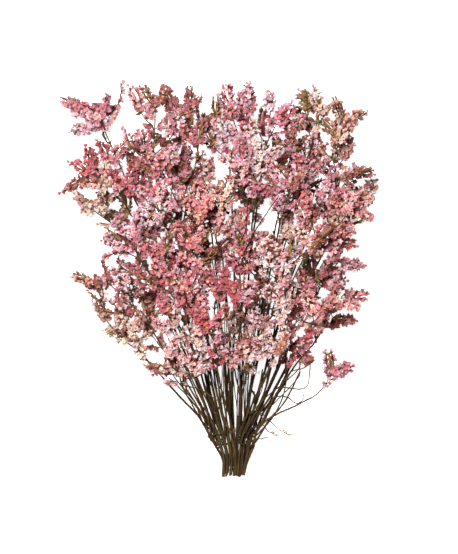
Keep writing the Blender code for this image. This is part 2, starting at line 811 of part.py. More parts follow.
def main():
    for thing in list(bpy.data.objects):
        bpy.data.objects.remove(thing)
    collection = bpy.data.collections.new("dried_statice")
    bpy.context.scene.collection.children.link(collection)
    materials = {tint: material_of("florets_" + tint, colour, 0.85) for tint, colour in TINTS.items()}
    bark = material_of("stems", STEM_COLOUR, 0.7)

    plan = Plan()
    stems = [plan_stem(plan, stem, number + 1) for number, stem in enumerate(STEMS)]
    sprays = [spray for stem in stems for spray in stem["sprays"]]
    lobes = [lobe for spray in sprays for lobe in spray["lobes"]]
    stubs = np.array([(spray["before"], spray["end"], spray["stub"]) for spray in sprays])
    settled, spans = settle(plan, lobes, stubs)
    fitted = fit_lobes(settled, spans, lobes)
    shares = {one[3]: share for one, share in zip(lobes, fitted)}
    shift = Vector((-PLAN_CENTRE[0], -PLAN_CENTRE[1], 0.0))
    points = [Vector(place) + shift for place in settled]

    for stem in stems:
        model_stem(stem, points, bark, collection)
        for spray in stem["sprays"]:
            model_spray(spray, points, shares, materials, collection)


main()
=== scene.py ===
"""Looks of a dried statice bunch: papery florets on thin stalks, and the ridged stems that bear them.

Metres, +Z up. The bunch lies on the table at z = 0, with its cut ends at -Y and its heads at +Y. The
plan below is the one that the solids were made from, so each flower grows where its solid lies.
"""

import json
import math
from collections import namedtuple

import bmesh
import bpy
import numpy as np
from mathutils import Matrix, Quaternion, Vector, noise

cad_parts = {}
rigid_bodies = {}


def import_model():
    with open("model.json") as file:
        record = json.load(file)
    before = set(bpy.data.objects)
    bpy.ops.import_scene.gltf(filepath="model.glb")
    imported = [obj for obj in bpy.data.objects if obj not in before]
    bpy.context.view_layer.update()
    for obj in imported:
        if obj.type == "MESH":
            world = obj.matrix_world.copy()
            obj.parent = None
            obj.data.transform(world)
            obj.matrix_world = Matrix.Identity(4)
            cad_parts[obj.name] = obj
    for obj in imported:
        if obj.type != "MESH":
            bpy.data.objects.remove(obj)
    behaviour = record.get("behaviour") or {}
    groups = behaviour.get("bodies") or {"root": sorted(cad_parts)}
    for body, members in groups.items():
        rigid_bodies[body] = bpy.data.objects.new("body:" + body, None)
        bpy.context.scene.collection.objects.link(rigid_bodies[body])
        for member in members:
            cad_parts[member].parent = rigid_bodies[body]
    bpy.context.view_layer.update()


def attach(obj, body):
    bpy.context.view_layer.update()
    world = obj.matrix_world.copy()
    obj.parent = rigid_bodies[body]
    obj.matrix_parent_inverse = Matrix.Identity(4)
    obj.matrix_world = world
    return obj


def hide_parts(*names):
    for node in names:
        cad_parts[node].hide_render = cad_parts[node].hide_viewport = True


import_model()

# Driving sizes of the bunch
PLAN_CENTRE = (-0.0207, 0.2768)  # middle of the bunch's outline, in the plan's own X and Y
STEM_RADIUS = 0.0022  # at the cut end
STEM_TOP_RADIUS = 0.0014  # where the spray begins
SIDE_RADIUS = 0.0015  # a side stem at its root
AXIS_RADIUS = 0.0012  # a spray's axis at its foot
TWIG_RADIUS = 0.0009
LOBE_LENGTH = 0.038  # one short spike of florets
LOBE_RADIUS = 0.0107
LENGTH_SPREAD = 0.14  # share by which one lobe's size differs from the next

# The neck, where the cut ends lie packed side by side in three rows
NECK_PITCH = 0.0049
ROW_HEIGHTS = (0.0022, 0.00645, 0.0107)
NECK_LENGTH = 0.016
CUT_STAGGER = 0.0014  # how unevenly the ends were cut

# How a stem divides
MAIN_STEPS = 6
SIDE_STEPS = 4
STEM_WANDER = 0.005  # how far a stem strays from its curve, halfway up
SIDE_HEIGHT = 0.45  # a side stem leaves at this share of the height of its own spray
FORK_DROP = 0.034  # the spray begins this far below its lowest head
STUB_LENGTH = 0.008  # the undivided foot of a spray
TWIG_SLANT = 1.1  # how far below its head a side twig leaves the axis, over its reach aside
TWIG_SPACING = 0.006  # the least way along the axis from one side twig to the next
LOBE_FAN = 36.0  # degrees that two lobes of a head turn away from its heading
LOBE_SWING = 9.0  # degrees that a lobe may turn beside that
LOBE_PITCH = 24.0  # degrees that a lobe may rise or dip
MAIN_LEAVE = np.array((0.22, 0.36, 0.15))  # how far a stem runs on as it leaves the neck, over its reach
MAIN_ARRIVE = np.array((0.42, 0.30, 0.30))
SIDE_BEND = 0.35  # how far a side stem runs on at both its ends, over its reach
AXIS_BEND = (0.3, 0.25)
HIGHEST_TWIG = 0.8  # share of a spray's axis above which no side twig leaves it

# How the plan is settled
CLEARANCE = 0.0005  # between one solid and the next
NEAR_MARGIN = 0.012  # pairs farther apart than this are left out until the next look
FITTING_MARGIN = 0.002
LOOK_EVERY = 10
SETTLE_ROUNDS = 150
FIRM_ROUNDS = 50  # the last rounds, with nothing pulling a point back
PULL_BACK = 0.02  # share of the way home that a point is drawn in each round
SEED = 5

# How freely each point moves as the plan settles, from 0, not at all, to 1
NECK_FREEDOM = 0.0
STEM_FREEDOM = 0.3
SIDE_FREEDOM = 0.4  # a side stem's points, and the foot of a spray
AXIS_FREEDOM = 0.6
HEAD_FREEDOM = 0.8
TIP_FREEDOM = 1.0

# How much room a lobe takes in the plan
LOBE_INSET = 0.27  # a capsule round a lobe starts this share of its length in from either end
CAPSULE_SHARE = 1.2  # that capsule's radius over the lobe's own
LYING_HEIGHT = 0.6  # the middle of a lobe pressed on the table, over the lobe's half width
SMALLEST_LOBE = 0.3  # a lobe thinner than this share is left out

# Flower parts, each a turned shape
CALYX_RADIUS = 0.0040
CALYX_LENGTH = 0.0070
CALYX_SHAPES = 5
CALYX_STEPS = (0.07, 0.05)  # how much narrower and longer each shape of calyx is than the one before
RIM_LOBES = 5
RIM_LOBING = 0.17  # how far the rim's lobes reach out, over its radius
RIM_LIFT = 0.4  # how much higher than its notches a rim's lobes stand, over how much farther out
RIM_CRUMPLE = (0.24, 0.32)  # how unevenly the rim reaches out and up
RIBS = 15.0  # fine ribs round a calyx
COROLLA_LENGTH = 0.0018
COROLLA_RADIUS = 0.0014
COROLLA_HEIGHT = 0.62  # where it sits, over the calyx's length
BRACT_LENGTH = 0.0052
BRACT_WIDTH = (0.0019, 0.0008)
LEAF_LENGTH = 0.0085
LEAF_WIDTH = (0.0015, 0.00045)
LEAF_BEND = 0.22
LEAF_SHAPE = 1  # its place among the shapes of bracts
BUD_LENGTH = 0.0072
BUD_WIDTH = (0.0019, 0.0015)
SHARPEST_SMOOTH = 78.0  # degrees between two faces that still look smooth together

# Spikes that fill a lobe
SPIKES = 3
SPIKE_TURN = 0.35  # radians that the highest spike may stand away from the top of its lobe
SPIKE_COURSE = ((0.0, 0.0), (0.06, 0.0), (0.30, 0.75), (0.62, 1.0))  # up the lobe, and out of the bulge
SPIKE_TUCK = 0.7  # how far out a spike's tip stands, over its bulge
SPIKE_BULGE = (0.28, 0.60)  # how far a spike stands off the axis, over the lobe's radius
SPIKE_TIP = (0.74, 0.98)  # how far up the lobe a spike reaches
SPIKE_GIRTH = 0.0013
LOBE_CORE = (0.0006, 0.0016, 0.0019, 0.0015, 0.0005)  # half width of the dark mass of tubes and bracts, painted as the head's colour in shade
LOBE_CORE_SPAN = (0.12, 0.82)
SAME_SPIKE = 0.7  # share of a lobe's spikes that have the lobe's own colour
THIN_LOBE_POWER = 0.6  # how fast the florets of a thinner lobe grow smaller

# Florets on a spike
SPIKE_FLORETS = 14
FIRST_FLORET = 0.18  # share of the spike below its first floret
ROW_TURNS = (0.0, -58.0, 40.0, -26.0, 64.0)  # degrees between a floret and its spike's outward side
FORWARD_LEAN = 0.70
UPWARD_LEAN = 0.20
SWEEP = 0.4  # how much more the florets lean along their spike by its end
TIP_SPREAD = 1.2  # and the last one beside that
LEAN_SCATTER = 0.52
PLACE_SCATTER = 0.0009
FLORET_SIZES = (0.76, 1.20)
TIP_SHRINK = 0.22  # how much smaller the last floret of a spike is
SAME_TINT = 0.72  # share of a spike's florets that have its own colour
SAME_THROAT = 0.7
COROLLA_SHARE = 0.36  # of the florets, those with dried petals in them
BRACT_SHARE = 0.40
BUD_SHARES = {"straw": 0.28, "mauve": 0.10}  # of a spray's spikes, those still in green bud
FEW_BUDS = 0.04
BUD_GROWTH = 1.1
BUD_LEAN = 0.5
MORE_BUDS = 7  # how many more buds than florets a spike bears
SPENT_SHARE = 0.07  # of the spikes, those faded to brown

# Short spikes that leave the twigs below the lobes
SIDE_SPIKE_STEP = 0.012
SIDE_SPIKE_TOP = 0.6  # steps from the end of the stalk down to the first
SIDE_SPIKE_STAGGER = (0.8, 1.2)
SIDE_SPIKE_START = 0.32  # share of the stalk below the lowest
SIDE_SPIKE_LENGTH = 0.021
SIDE_SPIKE_SPREAD = (0.8, 1.25)
SIDE_SPIKE_GIRTH = 0.0009
SIDE_SPIKE_COURSE = ((0.0, 0.0), (0.25, 0.22), (0.80, 0.60))  # along its stalk, and out from it
SIDE_SPIKE_FLORETS = 10
SIDE_FLORET_SIZE = 0.95
GOLDEN_ANGLE = 137.5  # degrees from one side spike to the next round its stalk

# Dark scales where a stalk divides
SCALES_AT_FORK = 3
SCALE_GROWTH = (0.7, 1.5)
SCALE_LEAN = (0.35, 0.9)

# Small heads between the large ones
FILLER_TWIG = 0.030  # how far below its head the root of its twig is looked for
FILLER_DROP = 0.3  # and the least that it may be, over that
FILLER_RISE = 0.010
FILLER_CEILING = 0.130
FILLER_BEND = 0.55  # share of its twig below the bend
FILLER_BOW = 0.08  # how far its twig bows aside, over its length
FILLER_SWING = 12.0  # degrees
FILLER_PITCH = (-10.0, 25.0)
FILLER_LENGTHS = (0.75, 0.95)  # over a lobe's
FILLER_GIRTH = 0.92

# What tells the random draws of one kind of thing from another's
CALYX_DRAWS = 900
SPRAY_DRAWS = 300
STEM_DRAWS = 400

# Points on each stretch of a smooth path
STEM_POINTS = 7
SIDE_STEM_POINTS = 6
STALK_POINTS = 5
TWIG_POINTS = 4
SPIKE_POINTS = 3

# Stems and stalks
STEM_SIDES = 9
STEM_RIDGES = 0.16  # height of a stem's ridges, over its half width
STALK_SIDES = 6
STALK_RIDGES = 0.10
RIDGES = 3.0
STALK_TAPER = 0.6  # a stalk's half width at its thin end, over that at the other
TWIG_TAPER = 0.8
AXIS_TAPER = 0.85  # a spray's stalk at its foot, over the end of its stem
TWIG_BENDS = ((0.12, 0.25), (0.66, 0.03))  # how far along it and along its axis a side twig bends
STEM_KINK = 0.0002
THINNEST_STEM = 0.60
NECK_PINCH = 0.90
NECK_SHUFFLE = 0.0022  # how far a stem's cut end strays sideways from its place in the neck
COLLAR_SHUFFLE = 0.4  # and how far the stem just above it does, over that
END_STAGGER = (-0.0055, 0.0015)
CUT_FACING = -0.9  # a cut end's face looks at least this far towards -Y
TABLE_GAP = 0.0002  # the least height of anything above the table
STEEP = 0.2  # a way counts as upright when its level part is shorter than this

# Thin shoots: companions run up beside a stem, and the others follow their own table
COMPANIONS = 2
COMPANION_ROOTS = (2, 18)
COMPANION_SPAN = (12, 28)  # points of the stem's path from a shoot's root to its end
COMPANION_ASIDE = (0.008, 0.040)
COMPANION_RISE = (-0.006, 0.012)
COMPANION_BEND = 1.2  # above 1, a shoot leaves its stem more slowly at first
COMPANION_GIRTH = (0.0007, 0.0016)
OUTER_STEM = 0.06  # a stem that ends this far aside has its companions on its inner side only
THICK_SHOOT = 0.0010  # a shoot at least this wide keeps the stems' colour to its end
TUFT_STEP = 0.10  # share of a shoot from one of its florets to the next
TUFT_LEAN = 0.7
TUFT_SIZE = 0.7

# Stage
PHOTO_HEIGHT = 554
METRES_PER_PIXEL = 0.0014
PICTURE_CENTRE = (0.0123, 0.0018)
CAMERA_HEIGHT = 6.0
CAMERA_REACH = 30.0
MIDDLE_HEIGHT = 0.07
SENSOR = 36.0
FLOOR_GLOW = 0.88
WORLD_LIGHT = 0.085
WORLD_TINT = (1.0, 0.58, 0.38)
SIDE_TINT = (1.0, 0.82, 0.66)  # light that comes from low down reaches the depths, and is warm
KEY_TINT = (1.0, 1.0, 1.0)
FLOOR_SIZE = 200.0
FLOOR_DROP = 0.0005
FLOOR_TINT = (0.86, 0.86, 0.86)
LIGHTS = (  # name, place, size across and power
    ("key", (-0.45, 0.55, 2.4), 0.5, 94.0),
    ("side_left", (-2.4, -0.4, 0.8), 1.0, 14.0),
    ("side_right", (2.4, 0.4, 0.8), 1.0, 14.0),
    ("side_front", (0.4, -2.6, 0.9), 1.0, 18.0),
    ("side_back", (-0.4, 2.6, 0.8), 1.0, 14.0),
)

# The tables below are in millimetres, and in degrees from +X
MILLIMETRES = 1000

# Each stem stands at a column and row of the neck, and bears one or two sprays. A spray has the name of
# its colours and its heads. A head is the end of a twig: its place in the plan, the way it points, and
# how many lobes it bears.
STEM_ROWS = (
    (-3.5, 1,
     ("pale", (-87, 142, 95, 120, 2), (-85, 166, 118, 110, 2), (-118, 197, 8, 95, 1)),
     ("straw", (-153, 200, 55, 138, 2), (-178, 216, 50, 118, 1), (-139, 202, 90, 105, 2))),
    (-3.0, 0,
     ("mauve", (-160, 234, 80, 118, 2), (-178, 270, 45, 138, 2), (-150, 264, 75, 140, 1),
      (-136, 284, 42, 110, 2), (-111, 246, 8, 130, 2))),
    (-3.0, 2,
     ("pink", (-153, 316, 85, 165, 2), (-134, 337, 112, 125, 2), (-148, 333, 55, 150, 2),
      (-116, 332, 70, 85, 2)),
     ("straw", (-153, 365, 8, 130, 2), (-188, 385, 55, 172, 2), (-178, 403, 85, 130, 2))),
    (-2.0, 0,
     ("rose", (-202, 413, 50, 190, 1), (-192, 425, 78, 160, 1), (-194, 428, 34, 112, 1),
      (-174, 437, 55, 78, 2), (-155, 405, 92, 98, 2))),
    (-2.5, 1,
     ("pink", (-206, 512, 50, 160, 1), (-198, 490, 60, 182, 1), (-185, 498, 80, 115, 2),
      (-166, 508, 52, 118, 2))),
    (-1.5, 1,
     ("mauve", (-133, 510, 60, 140, 2), (-111, 515, 82, 95, 2), (-143, 456, 95, 105, 1)),
     ("rose", (-132, 391, 70, 120, 2), (-129, 433, 60, 110, 2), (-106, 421, 108, 110, 2))),
    (-1.0, 2,
     ("pink", (-111, 379, 122, 100, 2), (-90, 409, 80, 80, 2), (-87, 372, 108, 90, 2)),
     ("coral", (-50, 365, 115, 90, 2), (-78, 346, 50, 110, 2), (-59, 318, 126, 95, 2),
      (-64, 330, 80, 60, 1))),
    (-2.0, 2,
     ("pale", (-52, 146, 106, 100, 2), (-83, 200, 120, 110, 2), (-59, 183, 85, 95, 1)),
     ("rose", (-97, 300, 95, 110, 2), (-76, 291, 80, 95, 2), (-69, 258, 124, 100, 2),
      (-106, 263, 85, 115, 2), (-94, 230, 96, 105, 1), (-55, 225, 95, 100, 2))),
    (-1.0, 0,
     ("mauve", (-87, 510, 45, 105, 1), (-70, 505, 82, 90, 2), (-43, 501, 46, 50, 2),
      (-27, 490, 92, 65, 2)),
     ("mauve", (-83, 456, 40, 100, 2), (-48, 463, 98, 110, 2), (-75, 427, 60, 85, 1),
      (-62, 407, 8, 95, 2))),
    (0.0, 2,
     ("rose", (-27, 153, 78, 100, 2), (-31, 207, 128, 95, 2)),
     ("rose", (-31, 253, 98, 95, 2), (-46, 286, 104, 95, 2), (-27, 300, 76, 95, 2))),
    (-0.5, 1,
     ("pink", (17, 506, 60, 72, 2), (-34, 459, 66, 75, 2)),
     ("coral", (-36, 410, 60, 90, 1), (-17, 384, 110, 100, 2), (-26, 352, 70, 105, 2),
      (-3, 330, 82, 100, 2))),
    (1.0, 2,
     ("pink", (8, 463, 92, 90, 2), (6, 428, 120, 110, 2), (14, 400, 60, 90, 1)),
     ("rose", (8, 288, 78, 95, 2), (8, 244, 126, 95, 2))),
    (0.5, 1,
     ("pale", (-3, 160, 86, 95, 2), (1, 197, 52, 90, 1), (22, 162, 110, 95, 2), (39, 204, 88, 80, 2),
      (18, 212, 70, 110, 1), (39, 246, 8, 90, 2))),
    (0.0, 0,
     ("pink", (34, 482, 42, 110, 2), (57, 491, 82, 90, 2)),
     ("pale", (20, 421, 70, 85, 2), (43, 435, 112, 75, 2), (29, 379, 8, 100, 2))),
    (1.5, 1,
     ("mauve", (78, 483, 66, 80, 2), (85, 449, 26, 100, 2)),
     ("pink", (76, 403, 126, 95, 2), (57, 400, 98, 135, 2), (76, 384, 70, 60, 2))),
    (2.0, 2,
     ("pale", (48, 169, 110, 95, 2), (71, 239, 116, 110, 2)),
     ("pale", (71, 305, 106, 110, 2), (48, 288, 98, 110, 2), (62, 321, 50, 165, 1))),
    (1.0, 0,
     ("straw", (106, 485, 40, 115, 1), (115, 507, 62, 130, 1), (123, 501, 80, 76, 2)),
     ("pink", (109, 403, 108, 90, 2), (104, 435, 30, 100, 2), (62, 435, 66, 50, 1))),
    (2.5, 1,
     ("straw", (158, 490, 50, 72, 2), (146, 470, 80, 95, 2), (148, 442, 42, 80, 1)),
     ("pink", (159, 421, 70, 42, 2), (165, 396, 34, 30, 1), (144, 400, 80, 85, 2),
      (127, 379, 98, 75, 2))),
    (3.0, 2,
     ("coral", (157, 373, 90, 22, 2), (151, 365, 112, 95, 2), (134, 361, 55, 80, 2)),
     ("coral", (138, 342, 95, 45, 2), (125, 325, 66, 25, 2), (104, 318, 112, 95, 2),
      (101, 350, 92, 88, 2), (71, 330, 78, 90, 1))),
    (2.0, 0,
     ("mauve", (144, 305, 60, -8, 1), (134, 300, 85, 60, 1), (109, 277, 8, 60, 2),
      (121, 270, 50, 24, 2))),
    (3.0, 0,
     ("coral", (134, 239, 85, 32, 2), (151, 249, 50, 4, 1), (138, 225, 55, 15, 1), (134, 214, 20, 2, 1),
      (108, 228, 100, 80, 2))),
    (3.5, 1,
     ("rose", (85, 225, 70, 70, 2), (85, 174, 55, 150, 1), (100, 158, 70, 105, 2)),
     ("pink", (136, 141, 50, 58, 2))),
)

# Small heads between the large ones: where each begins, and the way it points
FILLER_ROWS = (
    (-67, 199, 95), (-107, 178, 100), (-66, 157, 85), (-46, 238, 95), (42, 240, 88), (16, 240, 92),
    (133, 178, 80), (100, 176, 95), (40, 157, 100), (120, 94, 80), (79, 93, 90), (186, 98, 25),
    (-181, 98, 150), (-96, 83, 100), (36, 72, 90), (98, 74, 100), (58, 31, 85), (34, 38, 100),
    (-87, 10, 100), (-178, -6, 150), (-163, -30, 140), (57, -12, 90), (89, -12, 80), (-97, -53, 100),
    (-21, -54, 95), (122, -34, 80), (116, -98, 72), (116, -18, 95), (-25, 100, 95), (98, -85, 90),
    (-28, -94, 95), (-106, -114, 120), (6, 177, 95), (70, 234, 100), (119, 232, 90), (-196, 236, 165),
)

# Openings between the heads, where the white ground shows: the middle and the radius of each
OPENING_ROWS = (
    (-130, 230, 11), (-130, 209, 10), (-151, 211, 9), (-193, 253, 8), (-172, 253, 9), (-193, 232, 9),
    (-151, 253, 10), (-25, 254, 10), (61, 240, 10), (164, 232, 7), (-193, 127, 13), (-4, 169, 11),
    (-172, 22, 10), (-151, 22, 10), (-172, -20, 9), (-172, -55, 9), (-151, -41, 10), (59, 22, 12),
    (-109, -107, 11), (-88, -107, 12), (101, -125, 12), (122, -125, 12), (133, -104, 8), (185, 169, 10),
    (185, -50, 9), (142, -146, 9), (-14, -135, 9), (12, -136, 12), (34, -136, 11), (143, -162, 12),
    (152, -150, 11),
)

# Shoots that cross the neck and branches that lie over the heads: the stem that bears one, its half
# width, how many florets it ends in, and the places that it passes
SHOOT_ROWS = (
    (22, 0.8, 4, (56, -190, 20), (75, -206, 16), (88, -217, 14), (98, -221, 16)),
    (22, 0.8, 0, (47, -228, 14), (58, -227, 10), (70, -226, 9), (70, -234, 4)),
    (22, 0.8, 3, (60, -207, 16), (66, -215, 14), (78, -222, 12)),
    (22, 0.9, 0, (68, -184, 24), (81, -171, 30), (103, -148, 36), (111, -137, 40), (111, -114, 46)),
    (22, 0.9, 0, (95, -168, 28), (109, -176, 30), (118, -168, 34), (116, -160, 36)),
    (22, 0.9, 0, (122, -152, 36), (126, -130, 40), (127, -112, 44)),
    (21, 1.7, 0, (42, -222, 12), (70, -168, 30), (103, -104, 50)),
    (19, 1.5, 0, (40, -226, 18), (60, -176, 40), (84, -122, 60)),
    (18, 1.8, 0, (32, -236, 14), (52, -172, 36), (66, -112, 60)),
    (16, 1.5, 0, (30, -226, 20), (48, -170, 46), (78, -106, 70)),
    (20, 1.3, 0, (36, -214, 10), (66, -180, 20), (90, -134, 34), (118, -100, 46)),
    (4, 1.6, 0, (-8, -232, 10), (-22, -194, 20), (-40, -148, 36), (-56, -108, 46)),
    (5, 1.4, 0, (-6, -226, 14), (-20, -184, 34), (-40, -132, 56)),
    (3, 1.4, 0, (-10, -222, 18), (-28, -180, 40), (-62, -122, 70)),
    (6, 1.5, 0, (-4, -236, 10), (-10, -200, 22), (-32, -140, 50)),
    (21, 1.9, 0, (33, -218, 26), (58, -204, 28), (75, -170, 40), (103, -114, 56)),
    (20, 1.6, 0, (42, -238, 16), (70, -198, 28), (87, -179, 34), (112, -131, 50)),
    (19, 1.7, 0, (36, -218, 30), (53, -184, 44), (84, -114, 66)),
    (18, 1, 0, (42, -190, 42), (67, -165, 50), (95, -142, 52), (112, -123, 52), (110, -104, 54)),
    (17, 1.4, 0, (53, -165, 48), (59, -137, 58), (70, -116, 66)),
    (8, 1, 0, (-56, -148, 46), (-28, -156, 56), (-6, -170, 50), (4, -176, 46)),
    (2, 1.5, 0, (-17, -212, 14), (-36, -174, 26), (-54, -150, 34), (-58, -118, 44)),
    (7, 1.6, 0, (-6, -184, 40), (-20, -156, 50), (-28, -128, 58)),
    (1, 1.3, 0, (-20, -206, 8), (-45, -168, 16), (-73, -140, 24)),
    (1, 1.5, 0, (0, -238, 6), (-13, -214, 9), (-29, -186, 14), (-48, -156, 22)),
    (22, 2, 0, (38, -236, 10), (56, -208, 16), (84, -156, 30), (104, -112, 42)),
    (20, 1.8, 0, (40, -212, 24), (62, -160, 42), (70, -112, 60)),
    (19, 1.8, 0, (46, -206, 30), (76, -156, 46), (95, -120, 58)),
    (21, 1.2, 0, (50, -222, 20), (78, -190, 24), (92, -150, 36), (94, -124, 44)),
    (20, 1.2, 0, (84, -52, 92), (104, 4, 122), (120, 34, 132), (149, 63, 134), (166, 76, 128),
     (178, 94, 112)),
    (19, 1.3, 0, (72, -50, 90), (88, -8, 112), (103, 22, 126), (124, 42, 128)),
    (18, 1.1, 0, (60, -40, 88), (82, -2, 114), (93, 16, 124), (114, 28, 120)),
    (17, 1.1, 0, (30, 20, 92), (44, 58, 116), (64, 90, 126), (80, 112, 120)),
    (16, 1, 0, (26, 40, 90), (36, 70, 108), (38, 104, 122)),
    (8, 1.1, 0, (-30, 70, 96), (-58, 102, 122), (-70, 126, 124)),
)

Stem = namedtuple("Stem", "column row sprays")
Spray = namedtuple("Spray", "tint heads")
Head = namedtuple("Head", "x y z heading lobes")
Shoot = namedtuple("Shoot", "stem half_width florets corners")


def in_metres(rows, count):
    """Rows of a table, with as many of their first values as given turned into metres."""
    return [(*(value / MILLIMETRES for value in row[:count]), *row[count:]) for row in rows]


def stems_of(rows):
    """The stems of their table."""
    stems = []
    for column, row, *sprays in rows:
        borne = [Spray(tint, [Head(*head) for head in in_metres(heads, 3)]) for tint, *heads in sprays]
        stems.append(Stem(column, row, borne))
    return stems


STEMS = stems_of(STEM_ROWS)
FILLER_HEADS = in_metres(FILLER_ROWS, 2)
OPENINGS = in_metres(OPENING_ROWS, 3)
HAND_SHOOTS = [
    Shoot(stem, half_width / MILLIMETRES, florets, in_metres(corners, 3))
    for stem, half_width, florets, *corners in SHOOT_ROWS
]


# What a growing point of a piece is
STALK, CALYX, COROLLA, BRACT, BUD = -1, 0, 1, 2, 3
FLOWER_PARTS = ("calyx", "corolla", "bract", "bud")
WORKING_FACTS = ("kind", "shape", "turn", "size", "round", "along")  # of use only while a piece grows


def linear(share):
    """The light of one channel, from its share of full brightness on a screen."""
    return share / 12.92 if share <= 0.04045 else ((share + 0.055) / 1.055) ** 2.4


def srgb(red, green, blue):
    """A colour that is given as on a screen, from 0 to 255, made linear."""
    return tuple(linear(channel / 255) for channel in (red, green, blue))


# Colours of the florets on each kind of spray
FLORET_TINTS = {
    "pink": (srgb(242, 176, 194), srgb(234, 148, 170), srgb(246, 204, 214), srgb(214, 110, 134)),
    "rose": (srgb(228, 136, 150), srgb(208, 100, 118), srgb(240, 168, 180), srgb(190, 74, 90)),
    "pale": (srgb(250, 216, 216), srgb(246, 196, 202), srgb(250, 218, 204), srgb(238, 170, 178)),
    "coral": (srgb(242, 172, 174), srgb(234, 148, 154), srgb(246, 206, 188), srgb(216, 112, 120)),
    "mauve": (srgb(228, 158, 170), srgb(206, 120, 134), srgb(240, 188, 198), srgb(176, 88, 98)),
    "straw": (srgb(242, 202, 190), srgb(230, 168, 160), srgb(244, 218, 188), srgb(200, 130, 116)),
}
SPRIG_TINT = srgb(240, 226, 200)
SPENT_TINTS = (srgb(176, 98, 88), srgb(148, 74, 66), srgb(196, 128, 104))
# Throat colours, in a calyx and at the heart of its dried petals: the two wine reds are painted shade in
# the hollow, the orange, yellow and brown are the throats' own
THROATS = (srgb(120, 26, 46), srgb(150, 44, 56), srgb(236, 140, 60), srgb(248, 206, 130), srgb(110, 60, 30))
THROAT_ODDS = (0.38, 0.18, 0.24, 0.13, 0.07)
PALE_THROAT = THROATS[3]
# A calyx's pale rim: the paper's own paler edge, and partly a painted highlight
RIM_TINT = srgb(255, 228, 228)
# The dark foot of a calyx's back: the tube's own colour, and partly painted shade between the florets
TUBE_TINT = srgb(130, 46, 42)
CALYX_SPOT_TINT = srgb(176, 104, 84)
COROLLA_RIM_TINT = srgb(250, 214, 160)
COROLLA_SPOT_TINT = srgb(130, 60, 40)

# Colours of what is green or brown
BUD_TINTS = (srgb(112, 112, 40), srgb(90, 86, 38), srgb(136, 122, 60), srgb(150, 96, 80))
BUD_EDGE_TINT = srgb(206, 132, 122)
BRACT_TINT = srgb(112, 84, 48)
BRACT_EDGE_TINT = srgb(170, 140, 90)
SCALE_TINTS = (srgb(64, 52, 26), srgb(78, 74, 34), srgb(52, 36, 22))
SCALE_SPOT_TINT = srgb(70, 52, 28)
# Dark reds at the ends of the spikes' stalks, among the florets: the husks' own colour, and partly painted
# shade in a lobe's depths
HUSK_AND_SHADE_TINTS = (srgb(124, 38, 42), srgb(104, 50, 32), srgb(138, 56, 50), srgb(86, 66, 28))
STEM_TINTS = (srgb(60, 42, 20), srgb(42, 28, 14), srgb(80, 60, 28), srgb(62, 58, 26), srgb(52, 32, 16))
STALK_TINT = srgb(74, 66, 36)
SHOOT_TINT = srgb(98, 84, 48)
PALE_STREAK_TINT = srgb(122, 102, 50)
DARK_STREAK_TINT = srgb(36, 24, 14)
BLOTCH_TINT = srgb(48, 32, 18)
SPECK_TINT = srgb(30, 20, 12)
PITH_TINT = srgb(196, 176, 128)
PITH_RING_TINT = srgb(128, 100, 62)

# How much lighter or darker than its tint a thing may be, and how much warmer or cooler a head
FLORET_VARIETY = 0.11
SPRIG_VARIETY = 0.1
HEAD_VARIETY = 0.22
HEAD_WARMTH = 0.45
STALK_VARIETY = 0.25
GREEN_VARIETY = 0.2
BRACT_VARIETY = 0.3

# Painted shade: florets that lie under others are painted deeper, and those on top stay pale
ROOF_CELL = 0.010  # side of the squares in which the highest florets are looked for
UNSHADED_DEPTH = 0.004  # how far under the florets above it a floret still has no painted shade, as pale as they are
DEEP_DEPTH = 0.034
DEEP_SHARES = (0.50, 0.20, 0.17)  # of each channel, what a floret at that depth still reflects under its painted shade
SHADE_SHARES = (0.62, 0.34, 0.32)  # and what the mass in the middle of a lobe reflects, as painted shade
PALEST = 0.80  # of its red, the most green or blue that a floret reflects
PATCH_SIZE = 0.034
PATCH_SWING = (0.32, 0.78, 0.72)  # of each channel, how far a patch is deeper or paler than the rest


class Plan:
    """Points, with how freely each moves, and spans: first point, last point, radius, inset, owner."""

    def __init__(self):
        self.points = []
        self.mobility = []
        self.spans = []

    def point(self, place, mobility):
        self.points.append(tuple(place))
        self.mobility.append(mobility)
        return len(self.points) - 1

    def span(self, first, last, radius, owner, inset=0.0):
        self.spans.append((first, last, radius, inset, owner))
        return len(self.spans) - 1

    def chain(self, indices, first_radius, last_radius, owner):
        """A run of tubes through points, from one radius to another."""
        steps = len(indices) - 1
        for step in range(steps):
            share = step / steps
            radius = first_radius + (last_radius - first_radius) * share
            self.span(indices[step], indices[step + 1], radius, owner)


def on_curve(start, leave, end, arrive, share):
    """A point on the cubic that leaves and arrives along the two given vectors."""
    rest = 1 - share
    near = rest**3 * start + 3 * share * rest**2 * (start + leave)
    return near + 3 * share**2 * rest * (end - arrive) + share**3 * end


def even_shares(steps):
    return [step / steps for step in range(1, steps + 1)]


def direction_of(heading, pitch):
    """The unit vector at a heading from +X and a pitch above the table, in degrees."""
    flat = math.cos(math.radians(pitch))
    return np.array((
        flat * math.cos(math.radians(heading)),
        flat * math.sin(math.radians(heading)),
        math.sin(math.radians(pitch)),
    ))


def foot_of(spray, neck):
    """Where a spray begins: on the way from the neck to its heads, a little below the lowest."""
    heads = np.array([(head.x, head.y, head.z) for head in spray.heads])
    middle = heads.mean(axis=0)
    height = heads[:, 1].min() - FORK_DROP
    share = (height - neck[1]) / (middle[1] - neck[1])
    foot = neck + (middle - neck) * share
    foot[2] = neck[2] + (middle[2] - neck[2]) * math.sqrt(share)
    return foot


def shares_of_side_twigs(start, axis_end, bases):
    """How far along the axis each side twig leaves it, lowest first, at about the natural angle."""
    chord = axis_end - start
    length = np.linalg.norm(chord)
    wanted = []
    for place, base in bases:
        along = (base - start) @ chord / length
        aside = np.linalg.norm(base - start - chord / length * along)
        wanted.append((np.clip((along - aside * TWIG_SLANT) / length, 0.0, HIGHEST_TWIG), place))
    found = []
    for share, place in sorted(wanted):
        if found:
            share = max(share, found[-1][0] + TWIG_SPACING / length)
        found.append((share, place))
    return found


